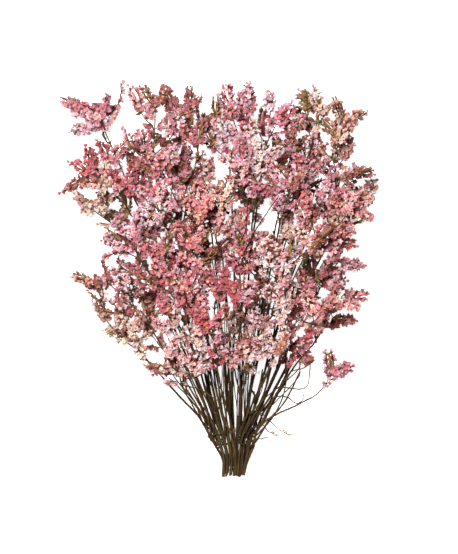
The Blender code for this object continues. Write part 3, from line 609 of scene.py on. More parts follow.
def plan_spray(plan, spray, end, way, number, owner):
    """Adds a spray's axis, side twigs and lobes beyond the point end. Returns their indices."""
    start = np.array(plan.points[end]) + way * STUB_LENGTH
    stub = plan.point(start, SIDE_FREEDOM)
    bases = [np.array((head.x, head.y, head.z)) for head in spray.heads]
    top = max(range(len(bases)), key=lambda place: np.linalg.norm(bases[place] - start))
    others = [(place, base) for place, base in enumerate(bases) if place != top]
    reach = np.linalg.norm(bases[top] - start)
    leaving = shares_of_side_twigs(start, bases[top], others)
    leave = way * reach * AXIS_BEND[0]
    arrive = direction_of(spray.heads[top].heading, 0) * reach * AXIS_BEND[1]
    axis = [end, stub]
    base_points = {}
    twigs = []
    for share, place in leaving:
        spot = on_curve(start, leave, bases[top], arrive, share)
        axis.append(plan.point(spot, AXIS_FREEDOM) if share > 0 else stub)
        base_points[place] = plan.point(bases[place], HEAD_FREEDOM)
        twigs.append([axis[-1], base_points[place]])
    base_points[top] = plan.point(bases[top], HEAD_FREEDOM)
    axis = list(dict.fromkeys(axis)) + [base_points[top]]
    plan.chain(axis, AXIS_RADIUS, TWIG_RADIUS, owner)
    for root, base in twigs:
        plan.span(root, base, TWIG_RADIUS, owner)
    lobes = []
    for place, head in enumerate(spray.heads):
        draw = np.random.default_rng((SEED, number, place))
        for turn in range(head.lobes):
            side = LOBE_FAN * (2 * turn - head.lobes + 1)
            heading = head.heading + side + draw.uniform(-LOBE_SWING, LOBE_SWING)
            pitch = draw.uniform(-LOBE_PITCH, LOBE_PITCH)
            size = 1 + draw.uniform(-LENGTH_SPREAD, LENGTH_SPREAD)
            tip = plan.point(bases[place] + direction_of(heading, pitch) * LOBE_LENGTH * size, TIP_FREEDOM)
            radius = LOBE_RADIUS * size
            span = plan.span(base_points[place], tip, radius * CAPSULE_SHARE, owner, LOBE_INSET)
            lobes.append((base_points[place], tip, radius, span))
    return {"end": end, "stub": stub, "axis": axis, "twigs": twigs, "lobes": lobes, "owner": owner}


def plan_stem(plan, stem, number):
    """Adds one stem and its sprays to the plan. Returns the indices that its solids are made from."""
    draw = np.random.default_rng((SEED, number))
    neck = np.array((stem.column * NECK_PITCH, draw.uniform(0, CUT_STAGGER), ROW_HEIGHTS[stem.row]))
    collar = neck + np.array((0.0, NECK_LENGTH, 0.0))
    feet = [foot_of(spray, collar) for spray in stem.sprays]
    highest = max(range(len(feet)), key=lambda place: feet[place][1])
    owner = f"stem_{number:02d}"

    target = feet[highest]
    leave = (target - collar) * MAIN_LEAVE
    arrive = (target - collar) * MAIN_ARRIVE
    main = [plan.point(neck, NECK_FREEDOM), plan.point(collar, NECK_FREEDOM)]
    for share in even_shares(MAIN_STEPS - 1):
        spot = on_curve(collar, leave, target, arrive, share)
        spot[:2] += draw.uniform(-STEM_WANDER, STEM_WANDER, 2) * math.sin(math.pi * share)
        main.append(plan.point(spot, STEM_FREEDOM))
    plan.chain(main, STEM_RADIUS, STEM_TOP_RADIUS, owner)

    side = None
    ways = {highest: arrive / np.linalg.norm(arrive)}
    ends = {highest: main[-1]}
    for place, foot in enumerate(feet):
        if place == highest:
            continue
        heights = [plan.points[index][1] for index in main]
        wanted = collar[1] + (foot[1] - collar[1]) * SIDE_HEIGHT
        near = min(range(2, len(main) - 1), key=lambda k: abs(heights[k] - wanted))
        root = np.array(plan.points[main[near]])
        after = np.array(plan.points[main[near + 1]])
        reach = np.linalg.norm(foot - root)
        leave = (after - root) / np.linalg.norm(after - root) * reach * SIDE_BEND
        arrive = (foot - root) * SIDE_BEND
        side = [main[near]]
        for share in even_shares(SIDE_STEPS):
            side.append(plan.point(on_curve(root, leave, foot, arrive, share), SIDE_FREEDOM))
        plan.chain(side, SIDE_RADIUS, STEM_TOP_RADIUS, owner)
        ways[place] = arrive / np.linalg.norm(arrive)
        ends[place] = side[-1]

    sprays = []
    for place, spray in enumerate(stem.sprays):
        spray_owner = f"spray_{number:02d}{'ab'[place]}"
        seed = number * 2 + place
        made = plan_spray(plan, spray, ends[place], ways[place], seed, spray_owner)
        made["tint"] = spray.tint
        made["before"] = side[-2] if side and ends[place] == side[-1] else main[-2]
        sprays.append(made)
    return {"owner": owner, "main": main, "side": side, "sprays": sprays}


def nearest_shares(first, first_end, second, second_end):
    """How far along each of two rows of segments their nearest points lie."""
    along = first_end - first
    across = second_end - second
    between = first - second
    a = (along * along).sum(axis=1) + 1e-18
    b = (along * across).sum(axis=1)
    c = (across * across).sum(axis=1) + 1e-18
    d = (along * between).sum(axis=1)
    e = (across * between).sum(axis=1)
    spread = a * c - b * b + 1e-18
    s = np.clip((b * e - c * d) / spread, 0, 1)
    t = np.clip((b * s + e) / c, 0, 1)
    s = np.clip((b * t - d) / a, 0, 1)
    return s, t


class Spans:
    """The plan's spans as arrays, with the pairs that share no point."""

    def __init__(self, plan):
        self.first = np.array([span[0] for span in plan.spans])
        self.last = np.array([span[1] for span in plan.spans])
        self.radius = np.array([span[2] for span in plan.spans])
        self.inset = np.array([span[3] for span in plan.spans])[:, None]
        owners = {name: place for place, name in enumerate(sorted({span[4] for span in plan.spans}))}
        self.owner = np.array([owners[span[4]] for span in plan.spans])
        one, other = np.triu_indices(len(plan.spans), 1)
        apart = np.ones(len(one), bool)
        for mine in (self.first, self.last):
            for theirs in (self.first, self.last):
                apart &= mine[one] != theirs[other]
        self.one = one[apart]
        self.other = other[apart]

    def ends(self, points):
        """Both ends of each span's core, without its inset."""
        start = points[self.first]
        end = points[self.last]
        return start + (end - start) * self.inset, end - (end - start) * self.inset

    def shortfalls(self, points, pairs):
        """For each pair: the shares along both, the way between them, and how much too near they are."""
        one, other = pairs
        start, end = self.ends(points)
        s, t = nearest_shares(start[one], end[one], start[other], end[other])
        near = start[one] + (end[one] - start[one]) * s[:, None]
        far = start[other] + (end[other] - start[other]) * t[:, None]
        between = near - far
        distance = np.linalg.norm(between, axis=1) + 1e-12
        short = self.radius[one] + self.radius[other] + CLEARANCE - distance
        return s, t, between / distance[:, None], short

    def nearby(self, points, margin):
        """The pairs whose surfaces come within a margin of each other."""
        start, end = self.ends(points)
        middle = (start + end) / 2
        size = np.linalg.norm(end - start, axis=1) / 2 + self.radius
        distance = np.linalg.norm(middle[self.one] - middle[self.other], axis=1)
        near = distance < size[self.one] + size[self.other] + margin
        return self.one[near], self.other[near]


def settle(plan, lobes, stubs):
    """Moves the plan's points until the spans are clear of each other and of the table.

    A lobe keeps its length, and a spray's stub stays in line with the end of its stem.
    """
    points = np.array(plan.points, float)
    home = points.copy()
    mobility = np.array(plan.mobility)[:, None]
    spans = Spans(plan)
    bases = np.array([lobe[0] for lobe in lobes])
    tips = np.array([lobe[1] for lobe in lobes])
    floor = np.array([lobe[2] for lobe in lobes]) * LYING_HEIGHT
    lengths = np.linalg.norm(points[tips] - points[bases], axis=1)[:, None]
    for turn in range(SETTLE_ROUNDS):
        if turn % LOOK_EVERY == 0:
            pairs = spans.nearby(points, NEAR_MARGIN)
        s, t, way, short = spans.shortfalls(points, pairs)
        close = short > 0
        one, other = pairs[0][close], pairs[1][close]
        push = way[close] * short[close][:, None] * 0.5
        s = spans.inset[one] + s[close][:, None] * (1 - 2 * spans.inset[one])
        t = spans.inset[other] + t[close][:, None] * (1 - 2 * spans.inset[other])
        move = np.zeros_like(points)
        np.add.at(move, spans.first[one], push * (1 - s))
        np.add.at(move, spans.last[one], push * s)
        np.add.at(move, spans.first[other], -push * (1 - t))
        np.add.at(move, spans.last[other], -push * t)
        if turn < SETTLE_ROUNDS - FIRM_ROUNDS:
            move += (home - points) * PULL_BACK
        points += move * mobility
        middle_height = (points[bases, 2] + points[tips, 2]) / 2
        sunk = np.maximum(floor - middle_height, 0)
        points[bases, 2] += sunk
        points[tips, 2] += sunk
        points[:, 2] = np.maximum(points[:, 2], STEM_RADIUS)
        way = points[tips] - points[bases]
        points[tips] = points[bases] + way / np.linalg.norm(way, axis=1)[:, None] * lengths
        way = points[stubs[:, 1]] - points[stubs[:, 0]]
        way /= np.linalg.norm(way, axis=1)[:, None]
        points[stubs[:, 2]] = points[stubs[:, 1]] + way * STUB_LENGTH
    return points, spans


def fit_lobes(points, spans, lobes):
    """The share of its full thickness that each lobe can have, so that it stays clear of other nodes."""
    by_span = {lobe[3]: place for place, lobe in enumerate(lobes)}
    one, other = spans.nearby(points, FITTING_MARGIN)
    apart = spans.owner[one] != spans.owner[other]
    one, other = one[apart], other[apart]
    short = spans.shortfalls(points, (one, other))[3]
    share = np.ones(len(lobes))
    for near, far, lack in zip(one, other, short):
        if lack <= 0:
            continue
        fat = [place for place in (by_span.get(near), by_span.get(far)) if place is not None]
        for place in fat:
            full = spans.radius[lobes[place][3]]
            share[place] = min(share[place], 1 - lack / len(fat) / full)
    return np.maximum(share, 0)


def operators(operation):
    """A Python operator that adds a Math node, and its reflected form."""
    def forward(self, other):
        return self.math(operation, self, other)

    def reflected(self, other):
        return self.math(operation, other, self)

    return forward, reflected


class Wire:
    """One output of a node. Python's operators on it add Math nodes."""

    __add__, __radd__ = operators("ADD")
    __sub__, __rsub__ = operators("SUBTRACT")
    __mul__, __rmul__ = operators("MULTIPLY")
    __truediv__, __rtruediv__ = operators("DIVIDE")
    __pow__, __rpow__ = operators("POWER")

    def __init__(self, graph, socket):
        self.graph = graph
        self.socket = socket

    def math(self, operation, *values):
        return self.graph.add("ShaderNodeMath", {"operation": operation}, values)

    def rising(self, low, high):
        """0 below low, 1 above high and a soft step between."""
        settings = {"interpolation_type": "SMOOTHSTEP"}
        return self.graph.add("ShaderNodeMapRange", settings, (self, low, high, 0.0, 1.0))

    def split(self):
        node = self.graph.add("ShaderNodeSeparateXYZ", {}, (self,)).socket.node
        return tuple(Wire(self.graph, socket) for socket in node.outputs)


class Graph:
    """A node tree of a material or of Geometry Nodes."""

    def __init__(self, tree):
        self.tree = tree

    def add(self, kind, settings, values, out=0):
        """A node with its settings, then its sockets' values or links, in order or by name."""
        node = self.tree.nodes.new(kind)
        for name, setting in settings.items():
            if name == "stops":
                self.set_ramp(node.color_ramp.elements, setting)
            else:
                setattr(node, name, setting)
        named = values.items() if isinstance(values, dict) else enumerate(values)
        for socket, value in named:
            self.feed(node.inputs[socket], value)
        return Wire(self, node.outputs[out])

    def set_ramp(self, elements, stops):
        while len(elements) < len(stops):
            elements.new(1.0)
        for element, (place, colour) in zip(elements, stops):
            element.position = place
            element.color = (*colour, 1.0)

    def feed(self, socket, value):
        if isinstance(value, Wire):
            self.tree.links.new(value.socket, socket)
        elif value is not None:
            wide = socket.type == "RGBA" and len(value) == 3
            socket.default_value = (*value, 1.0) if wide else value

    def mix(self, share, one, other, blend="MIX"):
        """A blend of two colours."""
        settings = {"data_type": "RGBA", "blend_type": blend}
        return self.add("ShaderNodeMix", settings, {0: share, 6: one, 7: other}, 2)

    def attribute(self, name, out):
        return self.add("ShaderNodeAttribute", {"attribute_name": name}, {}, out)

    def noise(self, place, scale, detail=2.0, rough=0.5):
        values = {"Vector": place, "Scale": scale, "Detail": detail, "Roughness": rough}
        return self.add("ShaderNodeTexNoise", {}, values)

    def bump(self, height, strength, distance):
        values = {"Strength": strength, "Distance": distance, "Height": height}
        return self.add("ShaderNodeBump", {}, values)


def painted(name, constants):
    """A new material: its graph, its shader's sockets and its place in space."""
    material = bpy.data.materials.new(name)
    material.use_nodes = True
    graph = Graph(material.node_tree)
    shader = material.node_tree.nodes["Principled BSDF"]
    for socket, value in constants.items():
        graph.feed(shader.inputs[socket], value)
    place = graph.add("ShaderNodeTexCoord", {}, {}, "Object")
    return material, graph, shader.inputs, place


CALYX_SHEEN = {
    "Sheen Weight": 0.2,
    "Subsurface Weight": 0.5,
    "Subsurface Scale": 0.005,
    "Subsurface Radius": (1.0, 0.5, 0.45),
}


def calyx_material():
    """Dry paper, deep in the throat and pale at the rim, with fine ribs; the throat's wine reds are painted
    shade, the pale rim is partly a painted highlight, and the dark foot of its back partly painted shade.
    """
    material, graph, shader, place = painted("calyx", CALYX_SHEEN)
    x, y, z = graph.attribute("petal", "Vector").split()
    tint = graph.attribute("tint", "Color")
    throat = graph.attribute("throat", "Color")
    inside = graph.attribute("inside", "Fac")
    spread = (x * x + y * y) ** 0.5
    angle = x.math("ARCTAN2", y, x)
    mottle = graph.noise(place, 700.0, 3.0, 0.6)
    rib_turn = angle * RIBS + mottle * 3.0
    ribs = rib_turn.math("SINE", rib_turn)
    # paler towards the rim, partly a painted highlight
    limb = graph.mix(spread.rising(0.70, 1.20) * 0.38, tint, RIM_TINT)
    limb = graph.mix((ribs * 0.5 + 0.5) * 0.10, limb, throat)
    # the throat's colour in the middle of the face; where it is a wine red it is painted shade
    face = graph.mix(spread.rising(0.05, 0.42) * 0.5 + 0.5, throat, limb)
    # the back darkens towards its foot, partly painted shade where the florets crowd
    back = graph.mix(z.rising(0.20, 0.75) * 0.8 + 0.2, TUBE_TINT, tint)
    colour = graph.mix(inside, back, face)
    colour = graph.mix(mottle.rising(0.62, 0.78) * 0.25, colour, CALYX_SPOT_TINT)
    graph.feed(shader["Base Color"], colour)
    graph.feed(shader["Roughness"], 0.62 + mottle * 0.3)
    graph.feed(shader["Normal"], graph.bump(ribs * 0.5 + mottle, 0.5, 0.0003))
    return material


def corolla_material():
    """The small dried petals in a calyx."""
    material, graph, shader, place = painted("corolla", {})
    x, y, z = graph.attribute("petal", "Vector").split()
    throat = graph.attribute("throat", "Color")
    spread = (x * x + y * y) ** 0.5
    grain = graph.noise(place, 1500.0)
    # the throat's colour at the heart; its wine reds are painted shade
    colour = graph.mix(spread.rising(0.3, 1.0) * 0.55, throat, COROLLA_RIM_TINT)
    colour = graph.mix(grain.rising(0.55, 0.8) * 0.4, colour, COROLLA_SPOT_TINT)
    graph.feed(shader["Base Color"], colour)
    graph.feed(shader["Roughness"], 0.6 + grain * 0.25)
    return material


def scale_material(name, edge):
    """A dry green scale: a bract or a closed bud, browner at its point."""
    material, graph, shader, place = painted(name, {})
    x, y, z = graph.attribute("petal", "Vector").split()
    tint = graph.attribute("tint", "Color")
    grain = graph.noise(place, 900.0, 3.0)
    colour = graph.mix(z.rising(0.45, 1.0) * 0.7, tint, edge)
    colour = graph.mix(grain.rising(0.4, 0.75) * 0.45, colour, SCALE_SPOT_TINT)
    graph.feed(shader["Base Color"], colour)
    graph.feed(shader["Roughness"], 0.6 + grain * 0.3)
    graph.feed(shader["Normal"], graph.bump(grain, 0.4, 0.0003))
    return material


def bark_material():
    """Dry stem with streaks along it and dark specks."""
    material, graph, shader, place = painted("bark", {"Specular IOR Level": 0.25})
    tint = graph.attribute("tint", "Color")
    x, y, z = graph.attribute("grain", "Vector").split()
    streak_place = graph.add("ShaderNodeCombineXYZ", {}, (x * 900.0, y * 900.0, z * 60.0))
    streaks = graph.noise(streak_place, 1.0, 3.0, 0.6)
    specks = graph.noise(place, 520.0, 2.0)
    blotches = graph.noise(place, 60.0, 2.0)
    colour = graph.mix(streaks.rising(0.50, 0.72) * 0.6, tint, PALE_STREAK_TINT)
    colour = graph.mix(streaks.rising(0.50, 0.32) * 0.6, colour, DARK_STREAK_TINT)
    colour = graph.mix(blotches.rising(0.45, 0.7) * 0.55, colour, BLOTCH_TINT)
    colour = graph.mix(specks.rising(0.66, 0.74) * 0.8, colour, SPECK_TINT)
    graph.feed(shader["Base Color"], colour)
    graph.feed(shader["Roughness"], 0.55 + streaks * 0.35)
    graph.feed(shader["Normal"], graph.bump(streaks + specks * 0.4, 0.7, 0.0005))
    return material


def pith_material():
    """The pale cut end of a stem."""
    material, graph, shader, place = painted("pith", {"Roughness": 0.85})
    rings = graph.noise(place, 1400.0, 3.0)
    graph.feed(shader["Base Color"], graph.mix(rings.rising(0.3, 0.7), PITH_TINT, PITH_RING_TINT))
    graph.feed(shader["Normal"], graph.bump(rings, 0.5, 0.0003))
    return material


def turned(name, sides, rings, length, width, collection, draw=None, bend=0.0):
    """A closed shape from a pole through rings to a pole. A ring is its radius, height, lobing, inside."""
    shape = bmesh.new()
    facts = []
    rows = []
    for radius, height, lobing, inside in rings:
        row = []
        for side in range(sides if radius > 0 else 1):
            angle = 2 * math.pi * side / sides
            reach = radius * (1 + lobing * math.cos(RIM_LOBES * angle))
            lift = height + lobing * RIM_LIFT * math.cos(RIM_LOBES * angle)
            if draw is not None and lobing:
                reach *= 1 + draw.uniform(-RIM_CRUMPLE[0], RIM_CRUMPLE[0])
                lift += draw.uniform(-RIM_CRUMPLE[1], RIM_CRUMPLE[1])
            place = (reach * math.cos(angle), reach * math.sin(angle), lift)
            row.append(shape.verts.new((
                place[0] * width[0],
                place[1] * width[1] + bend * length * lift**2,
                lift * length,
            )))
            facts.append((*place, inside))
        rows.append(row)
    for lower, upper in zip(rows, rows[1:]):
        for side in range(sides):
            after = (side + 1) % sides
            corners = [lower[side % len(lower)], lower[after % len(lower)]]
            corners += [upper[after % len(upper)], upper[side % len(upper)]]
            shape.faces.new(list(dict.fromkeys(corners)))
    bmesh.ops.recalc_face_normals(shape, faces=shape.faces)
    mesh = bpy.data.meshes.new(name)
    shape.to_mesh(mesh)
    shape.free()
    mesh.shade_smooth()
    mesh.set_sharp_from_angle(angle=math.radians(SHARPEST_SMOOTH))
    facts = np.array(facts, np.float32)
    mesh.attributes.new("petal", "FLOAT_VECTOR", "POINT").data.foreach_set("vector", facts[:, :3].ravel())
    mesh.attributes.new("inside", "FLOAT", "POINT").data.foreach_set("value", facts[:, 3].copy())
    made = bpy.data.objects.new(name, mesh)
    collection.objects.link(made)
    return made


def flower_parts():
    """One collection for each part of a flower, holding the shapes that are set out."""
    groups = {}
    for name in FLOWER_PARTS:
        groups[name] = bpy.data.collections.new("shapes_" + name)
        bpy.context.scene.collection.children.link(groups[name])
    wide = (CALYX_RADIUS, CALYX_RADIUS)
    for place in range(CALYX_SHAPES):
        draw = np.random.default_rng((SEED, CALYX_DRAWS, place))
        flare = 1.0 - CALYX_STEPS[0] * place
        rings = (
            (0.0, 0.0, 0.0, 0.0),
            (1.0 * flare, 0.86 + CALYX_STEPS[1] * place, RIM_LOBING, 0.5),
            (0.40 * flare, 0.72, 0.0, 1.0),
            (0.0, 0.30, 0.0, 1.0),
        )
        turned(f"calyx_{place}", 10, rings, CALYX_LENGTH, wide, groups["calyx"], draw)
    rings = ((0.0, 0.0, 0.0, 1.0), (1.0, 0.9, 0.35, 1.0), (0.0, 0.75, 0.0, 1.0))
    turned("corolla_0", 10, rings, COROLLA_LENGTH, (COROLLA_RADIUS, COROLLA_RADIUS), groups["corolla"])
    rings = ((0.0, 0.0, 0.0, 0.0), (1.0, 0.35, 0.0, 0.0), (0.0, 1.0, 0.0, 0.0))
    turned("bract_0", 4, rings, BRACT_LENGTH, BRACT_WIDTH, groups["bract"])
    rings = (
        (0.0, 0.0, 0.0, 0.0),
        (0.75, 0.16, 0.0, 0.0),
        (1.0, 0.40, 0.0, 0.0),
        (0.55, 0.74, 0.0, 0.0),
        (0.0, 1.0, 0.0, 0.0),
    )
    turned("bract_1", 6, rings, LEAF_LENGTH, LEAF_WIDTH, groups["bract"], bend=LEAF_BEND)
    rings = ((0.0, 0.0, 0.0, 0.0), (0.9, 0.30, 0.0, 0.0), (0.75, 0.62, 0.0, 0.0), (0.0, 1.0, 0.0, 0.0))
    turned("bud_0", 6, rings, BUD_LENGTH, BUD_WIDTH, groups["bud"])
    return groups


def smooth_path(points, steps):
    """A smooth curve through points, as this many points to each stretch."""
    points = np.array([tuple(point) for point in points], float)
    gaps = np.diff(points, axis=0)
    spans = np.linalg.norm(gaps, axis=1)[:, None]
    ways = gaps / spans
    inner = (ways[:-1] * spans[1:] + ways[1:] * spans[:-1]) / (spans[:-1] + spans[1:])
    tangents = np.vstack((ways[:1], inner, ways[-1:]))
    t = np.linspace(0, 1, steps, endpoint=False)[:, None]
    found = []
    for place, gap in enumerate(gaps):
        leave = tangents[place] * spans[place]
        arrive = tangents[place + 1] * spans[place]
        bent = leave * (t - 2 * t**2 + t**3) + arrive * (t**3 - t**2)
        found.append(points[place] + bent + gap * (3 * t**2 - 2 * t**3))
    return np.vstack(found + [points[-1:]])


def tapered(path, first, last):
    """The half width at each point of a path, from one value to another."""
    return np.linspace(first, last, len(path))


class Growth:
    """The growing points of one piece: stalks as runs of joined points, and flower parts as single ones."""

    def __init__(self):
        self.rows = []
        self.edges = []

    def point(self, place, kind, shape=0, turn=(1, 0, 0, 0), size=1.0, tint=(0, 0, 0), throat=(0, 0, 0)):
        self.rows.append((place, kind, shape, turn, size, tint, throat))

    def stalk(self, path, girths, tint, end_tint=None):
        """A stalk along a path, with its half width at each point."""
        start = len(self.rows)
        end_tint = tint if end_tint is None else end_tint
        for place, (spot, girth) in enumerate(zip(path, girths)):
            share = place / (len(path) - 1)
            colour = tuple(one + (other - one) * share for one, other in zip(tint, end_tint))
            self.point(spot, STALK, size=girth, tint=colour)
        self.edges += [(place, place + 1) for place in range(start, len(self.rows) - 1)]

    def mesh(self, name):
        places, kinds, shapes, turns, sizes, tints, throats = zip(*self.rows)
        made = bpy.data.meshes.new(name)
        made.from_pydata([tuple(place) for place in places], self.edges, [])
        facts = (
            ("kind", "INT", "value", np.array(kinds, np.int32)),
            ("shape", "INT", "value", np.array(shapes, np.int32)),
            ("turn", "QUATERNION", "value", np.array([tuple(turn) for turn in turns], np.float32)),
            ("size", "FLOAT", "value", np.array(sizes, np.float32)),
            ("tint", "FLOAT_COLOR", "color", np.array([(*tint, 1.0) for tint in tints], np.float32)),
            ("throat", "FLOAT_COLOR", "color", np.array([(*tint, 1.0) for tint in throats], np.float32)),
        )
        for label, kind, field, values in facts:
            made.attributes.new(label, kind, "POINT").data.foreach_set(field, values.ravel())
        return made


def growing_tree():
    """Geometry Nodes that make stalks along the joined points and set a flower part on each single one."""
    tree = bpy.data.node_groups.new("statice growth", "GeometryNodeTree")
    graph = Graph(tree)
    sockets = [("Points", "Geometry"), ("Sides", "Int"), ("Ridges", "Float"), ("Ridge Height", "Float")]
    sockets.append(("Bark", "Material"))
    for part in FLOWER_PARTS:
        sockets += [(part + " shapes", "Collection"), (part + " material", "Material")]
    for name, kind in sockets:
        tree.interface.new_socket(name, in_out="INPUT", socket_type="NodeSocket" + kind)
    tree.interface.new_socket("Geometry", in_out="OUTPUT", socket_type="NodeSocketGeometry")
    source = tree.nodes.new("NodeGroupInput")
    inputs = {socket.name: Wire(graph, socket) for socket in source.outputs if socket.name}

    def named(label, kind):
        return graph.add("GeometryNodeInputNamedAttribute", {"data_type": kind}, (label,))

    def stored(geometry, label, kind, value):
        settings = {"data_type": kind, "domain": "POINT"}
        return graph.add("GeometryNodeStoreNamedAttribute", settings, {0: geometry, 2: label, 3: value})

    values = {"Resolution": inputs["Sides"], "Radius": 1.0}
    circle = graph.add("GeometryNodeCurvePrimitiveCircle", {}, values)
    turn = graph.add("GeometryNodeSplineParameter", {}, {}) * (2 * math.pi) * inputs["Ridges"]
    swell = turn.math("COSINE", turn) * inputs["Ridge Height"] + 1.0
    place = graph.add("GeometryNodeInputPosition", {}, {})
    ridged = graph.add("ShaderNodeVectorMath", {"operation": "SCALE"}, {0: place, "Scale": swell})
    profile = graph.add("GeometryNodeSetPosition", {}, {"Geometry": circle, "Position": ridged})
    profile = stored(profile, "round", "FLOAT_VECTOR", place)
    line = graph.add("GeometryNodeMeshToCurve", {}, (inputs["Points"],))
    length = graph.add("GeometryNodeSplineParameter", {}, {}, "Length")
    line = stored(line, "along", "FLOAT", length)
    values = {"Curve": line, "Profile Curve": profile, "Scale": named("size", "FLOAT"), "Fill Caps": True}
    stalks = graph.add("GeometryNodeCurveToMesh", {}, values)
    x, y, z = named("round", "FLOAT_VECTOR").split()
    girth = named("size", "FLOAT")
    grain = graph.add("ShaderNodeCombineXYZ", {}, (x * girth, y * girth, named("along", "FLOAT")))
    stalks = stored(stalks, "grain", "FLOAT_VECTOR", grain)
    stalks = graph.add("GeometryNodeSetMaterial", {}, {0: stalks, "Material": inputs["Bark"]})

    branches = [stalks]
    kind = named("kind", "INT")
    for number, part in enumerate(FLOWER_PARTS):
        values = {"Collection": inputs[part + " shapes"], "Separate Children": True, "Reset Children": True}
        shapes = graph.add("GeometryNodeCollectionInfo", {}, values)
        values = {
            "Points": inputs["Points"],
            "Selection": kind.math("COMPARE", kind, number, 0.5),
            "Instance": shapes,
            "Pick Instance": True,
            "Instance Index": named("shape", "INT"),
            "Rotation": named("turn", "QUATERNION"),
            "Scale": named("size", "FLOAT"),
        }
        flowers = graph.add("GeometryNodeInstanceOnPoints", {}, values)
        flowers = graph.add("GeometryNodeRealizeInstances", {}, (flowers,))
        values = {0: flowers, "Material": inputs[part + " material"]}
        branches.append(graph.add("GeometryNodeSetMaterial", {}, values))
    joined = tree.nodes.new("GeometryNodeJoinGeometry")
    for branch in reversed(branches):
        tree.links.new(branch.socket, joined.inputs[0])
    x, y, z = graph.add("GeometryNodeInputPosition", {}, {}).split()
    above = graph.add("ShaderNodeCombineXYZ", {}, (x, y, z.math("MAXIMUM", z, TABLE_GAP)))
    values = {"Geometry": Wire(graph, joined.outputs[0]), "Position": above}
    kept = graph.add("GeometryNodeSetPosition", {}, values)
    tree.links.new(kept.socket, tree.nodes.new("NodeGroupOutput").inputs[0])
    return tree


def grown(name, growth, tree, settings):
    """The plain mesh of a piece, grown from its points."""
    holder = bpy.data.objects.new(name, growth.mesh(name + "_points"))
    bpy.context.scene.collection.objects.link(holder)
    modifier = holder.modifiers.new("growth", "NODES")
    modifier.node_group = tree
    for item in tree.interface.items_tree:
        if item.in_out == "INPUT" and item.name in settings:
            modifier[item.identifier] = settings[item.name]
    evaluated = holder.evaluated_get(bpy.context.evaluated_depsgraph_get())
    mesh = bpy.data.meshes.new_from_object(evaluated)
    points = holder.data
    holder.modifiers.remove(modifier)
    holder.data = mesh
    bpy.data.meshes.remove(points)
    mesh.name = name
    for label in WORKING_FACTS:
        if label in mesh.attributes:
            mesh.attributes.remove(mesh.attributes[label])
    return holder


def any_across(way):
    """A unit vector square to a way, upward where it can be."""
    up = Vector((0.0, 0.0, 1.0))
    across = up - way * up.dot(way)
    if across.length < STEEP:
        across = Vector((1.0, 0.0, 0.0)).cross(way)
    return across.normalized()


def pick(draw, options, odds=None):
    return options[draw.choice(len(options), p=odds)]


def varied(draw, tint, spread, warmth=0.3):
    """A colour made a little lighter or darker, and a little warmer or cooler."""
    light = 1 + draw.uniform(-spread, spread)
    warm = draw.uniform(-spread, spread) * warmth
    return tuple(min(channel * light * (1 + warm * way), 1.0) for channel, way in zip(tint, (1, 0, -1)))


def turn_to(way, draw):
    """A turn that lays +Z along a way, with a random spin."""
    spin = Quaternion((0.0, 0.0, 1.0), draw.uniform(0, 2 * math.pi))
    return Vector((0.0, 0.0, 1.0)).rotation_difference(way) @ spin


def set_floret(growth, place, way, size, tint, throat, draw):
    """A calyx, in some with dried petals in it, and in some with a bract under it."""
    turn = turn_to(way, draw)
    growth.point(place, CALYX, int(draw.integers(CALYX_SHAPES)), turn, size, tint, throat)
    if draw.uniform() < COROLLA_SHARE:
        heart = place + way * (CALYX_LENGTH * COROLLA_HEIGHT * size)
        growth.point(heart, COROLLA, 0, turn, size, tint, throat)
    if draw.uniform() < BRACT_SHARE:
        growth.point(place, BRACT, 0, turn_to(way, draw), size, varied(draw, BRACT_TINT, BRACT_VARIETY))


def set_spike(growth, path, outward, count, size, tint, ground, draw):
    """Rows of florets along a spike, or of buds where it is still closed."""
    tints = FLORET_TINTS[tint]
    buds = BUD_SHARES.get(tint, FEW_BUDS)
    fate = draw.uniform()
    kind = "bud" if fate < buds else "spent" if fate < buds + SPENT_SHARE else "open"
    throat = pick(draw, THROATS, THROAT_ODDS)
    count += MORE_BUDS if kind == "bud" else 0
    for number in range(count):
        share = FIRST_FLORET + (1 - FIRST_FLORET) * number / (count - 1)
        place, along = along_path(path, share)
        place = place + Vector(draw.normal(0, PLACE_SCATTER, 3))
        flat = (outward - along * outward.dot(along)).normalized()
        way = Quaternion(along, math.radians(ROW_TURNS[number % len(ROW_TURNS)])) @ flat
        lean = FORWARD_LEAN + (TIP_SPREAD if number == count - 1 else 0.0) + SWEEP * share**2
        way = way + along * lean + Vector(draw.uniform(-LEAN_SCATTER, LEAN_SCATTER, 3))
        way.z += UPWARD_LEAN
        way.normalize()
        grown_size = size * draw.uniform(*FLORET_SIZES) * (1 - TIP_SHRINK * share**3)
        if kind == "bud":
            green = varied(draw, pick(draw, BUD_TINTS), GREEN_VARIETY)
            way = (way + along * BUD_LEAN).normalized()
            growth.point(place, BUD, 0, turn_to(way, draw), grown_size * BUD_GROWTH, green)
            continue
        own = ground if draw.uniform() < SAME_TINT else pick(draw, tints)
        if kind == "spent":
            own = pick(draw, SPENT_TINTS)
        here = throat if draw.uniform() < SAME_THROAT else pick(draw, THROATS, THROAT_ODDS)
        set_floret(growth, place, way, grown_size, varied(draw, own, FLORET_VARIETY), here, draw)


def along_path(path, share):
    """A place on a path, and the way that the path runs there."""
    spot = share * (len(path) - 1)
    low = min(int(spot), len(path) - 2)
    return path[low].lerp(path[low + 1], spot - low), (path[low + 1] - path[low]).normalized()


def set_scales(growth, place, along, draw):
    """Dark pointed scales round a place where a stalk divides."""
    across = any_across(along)
    for number in range(SCALES_AT_FORK):
        outward = Quaternion(along, draw.uniform(0, 2 * math.pi)) @ across
        way = (along + outward * draw.uniform(*SCALE_LEAN)).normalized()
        tint = varied(draw, pick(draw, SCALE_TINTS), STALK_VARIETY)
        growth.point(place, BRACT, LEAF_SHAPE, turn_to(way, draw), draw.uniform(*SCALE_GROWTH), tint)


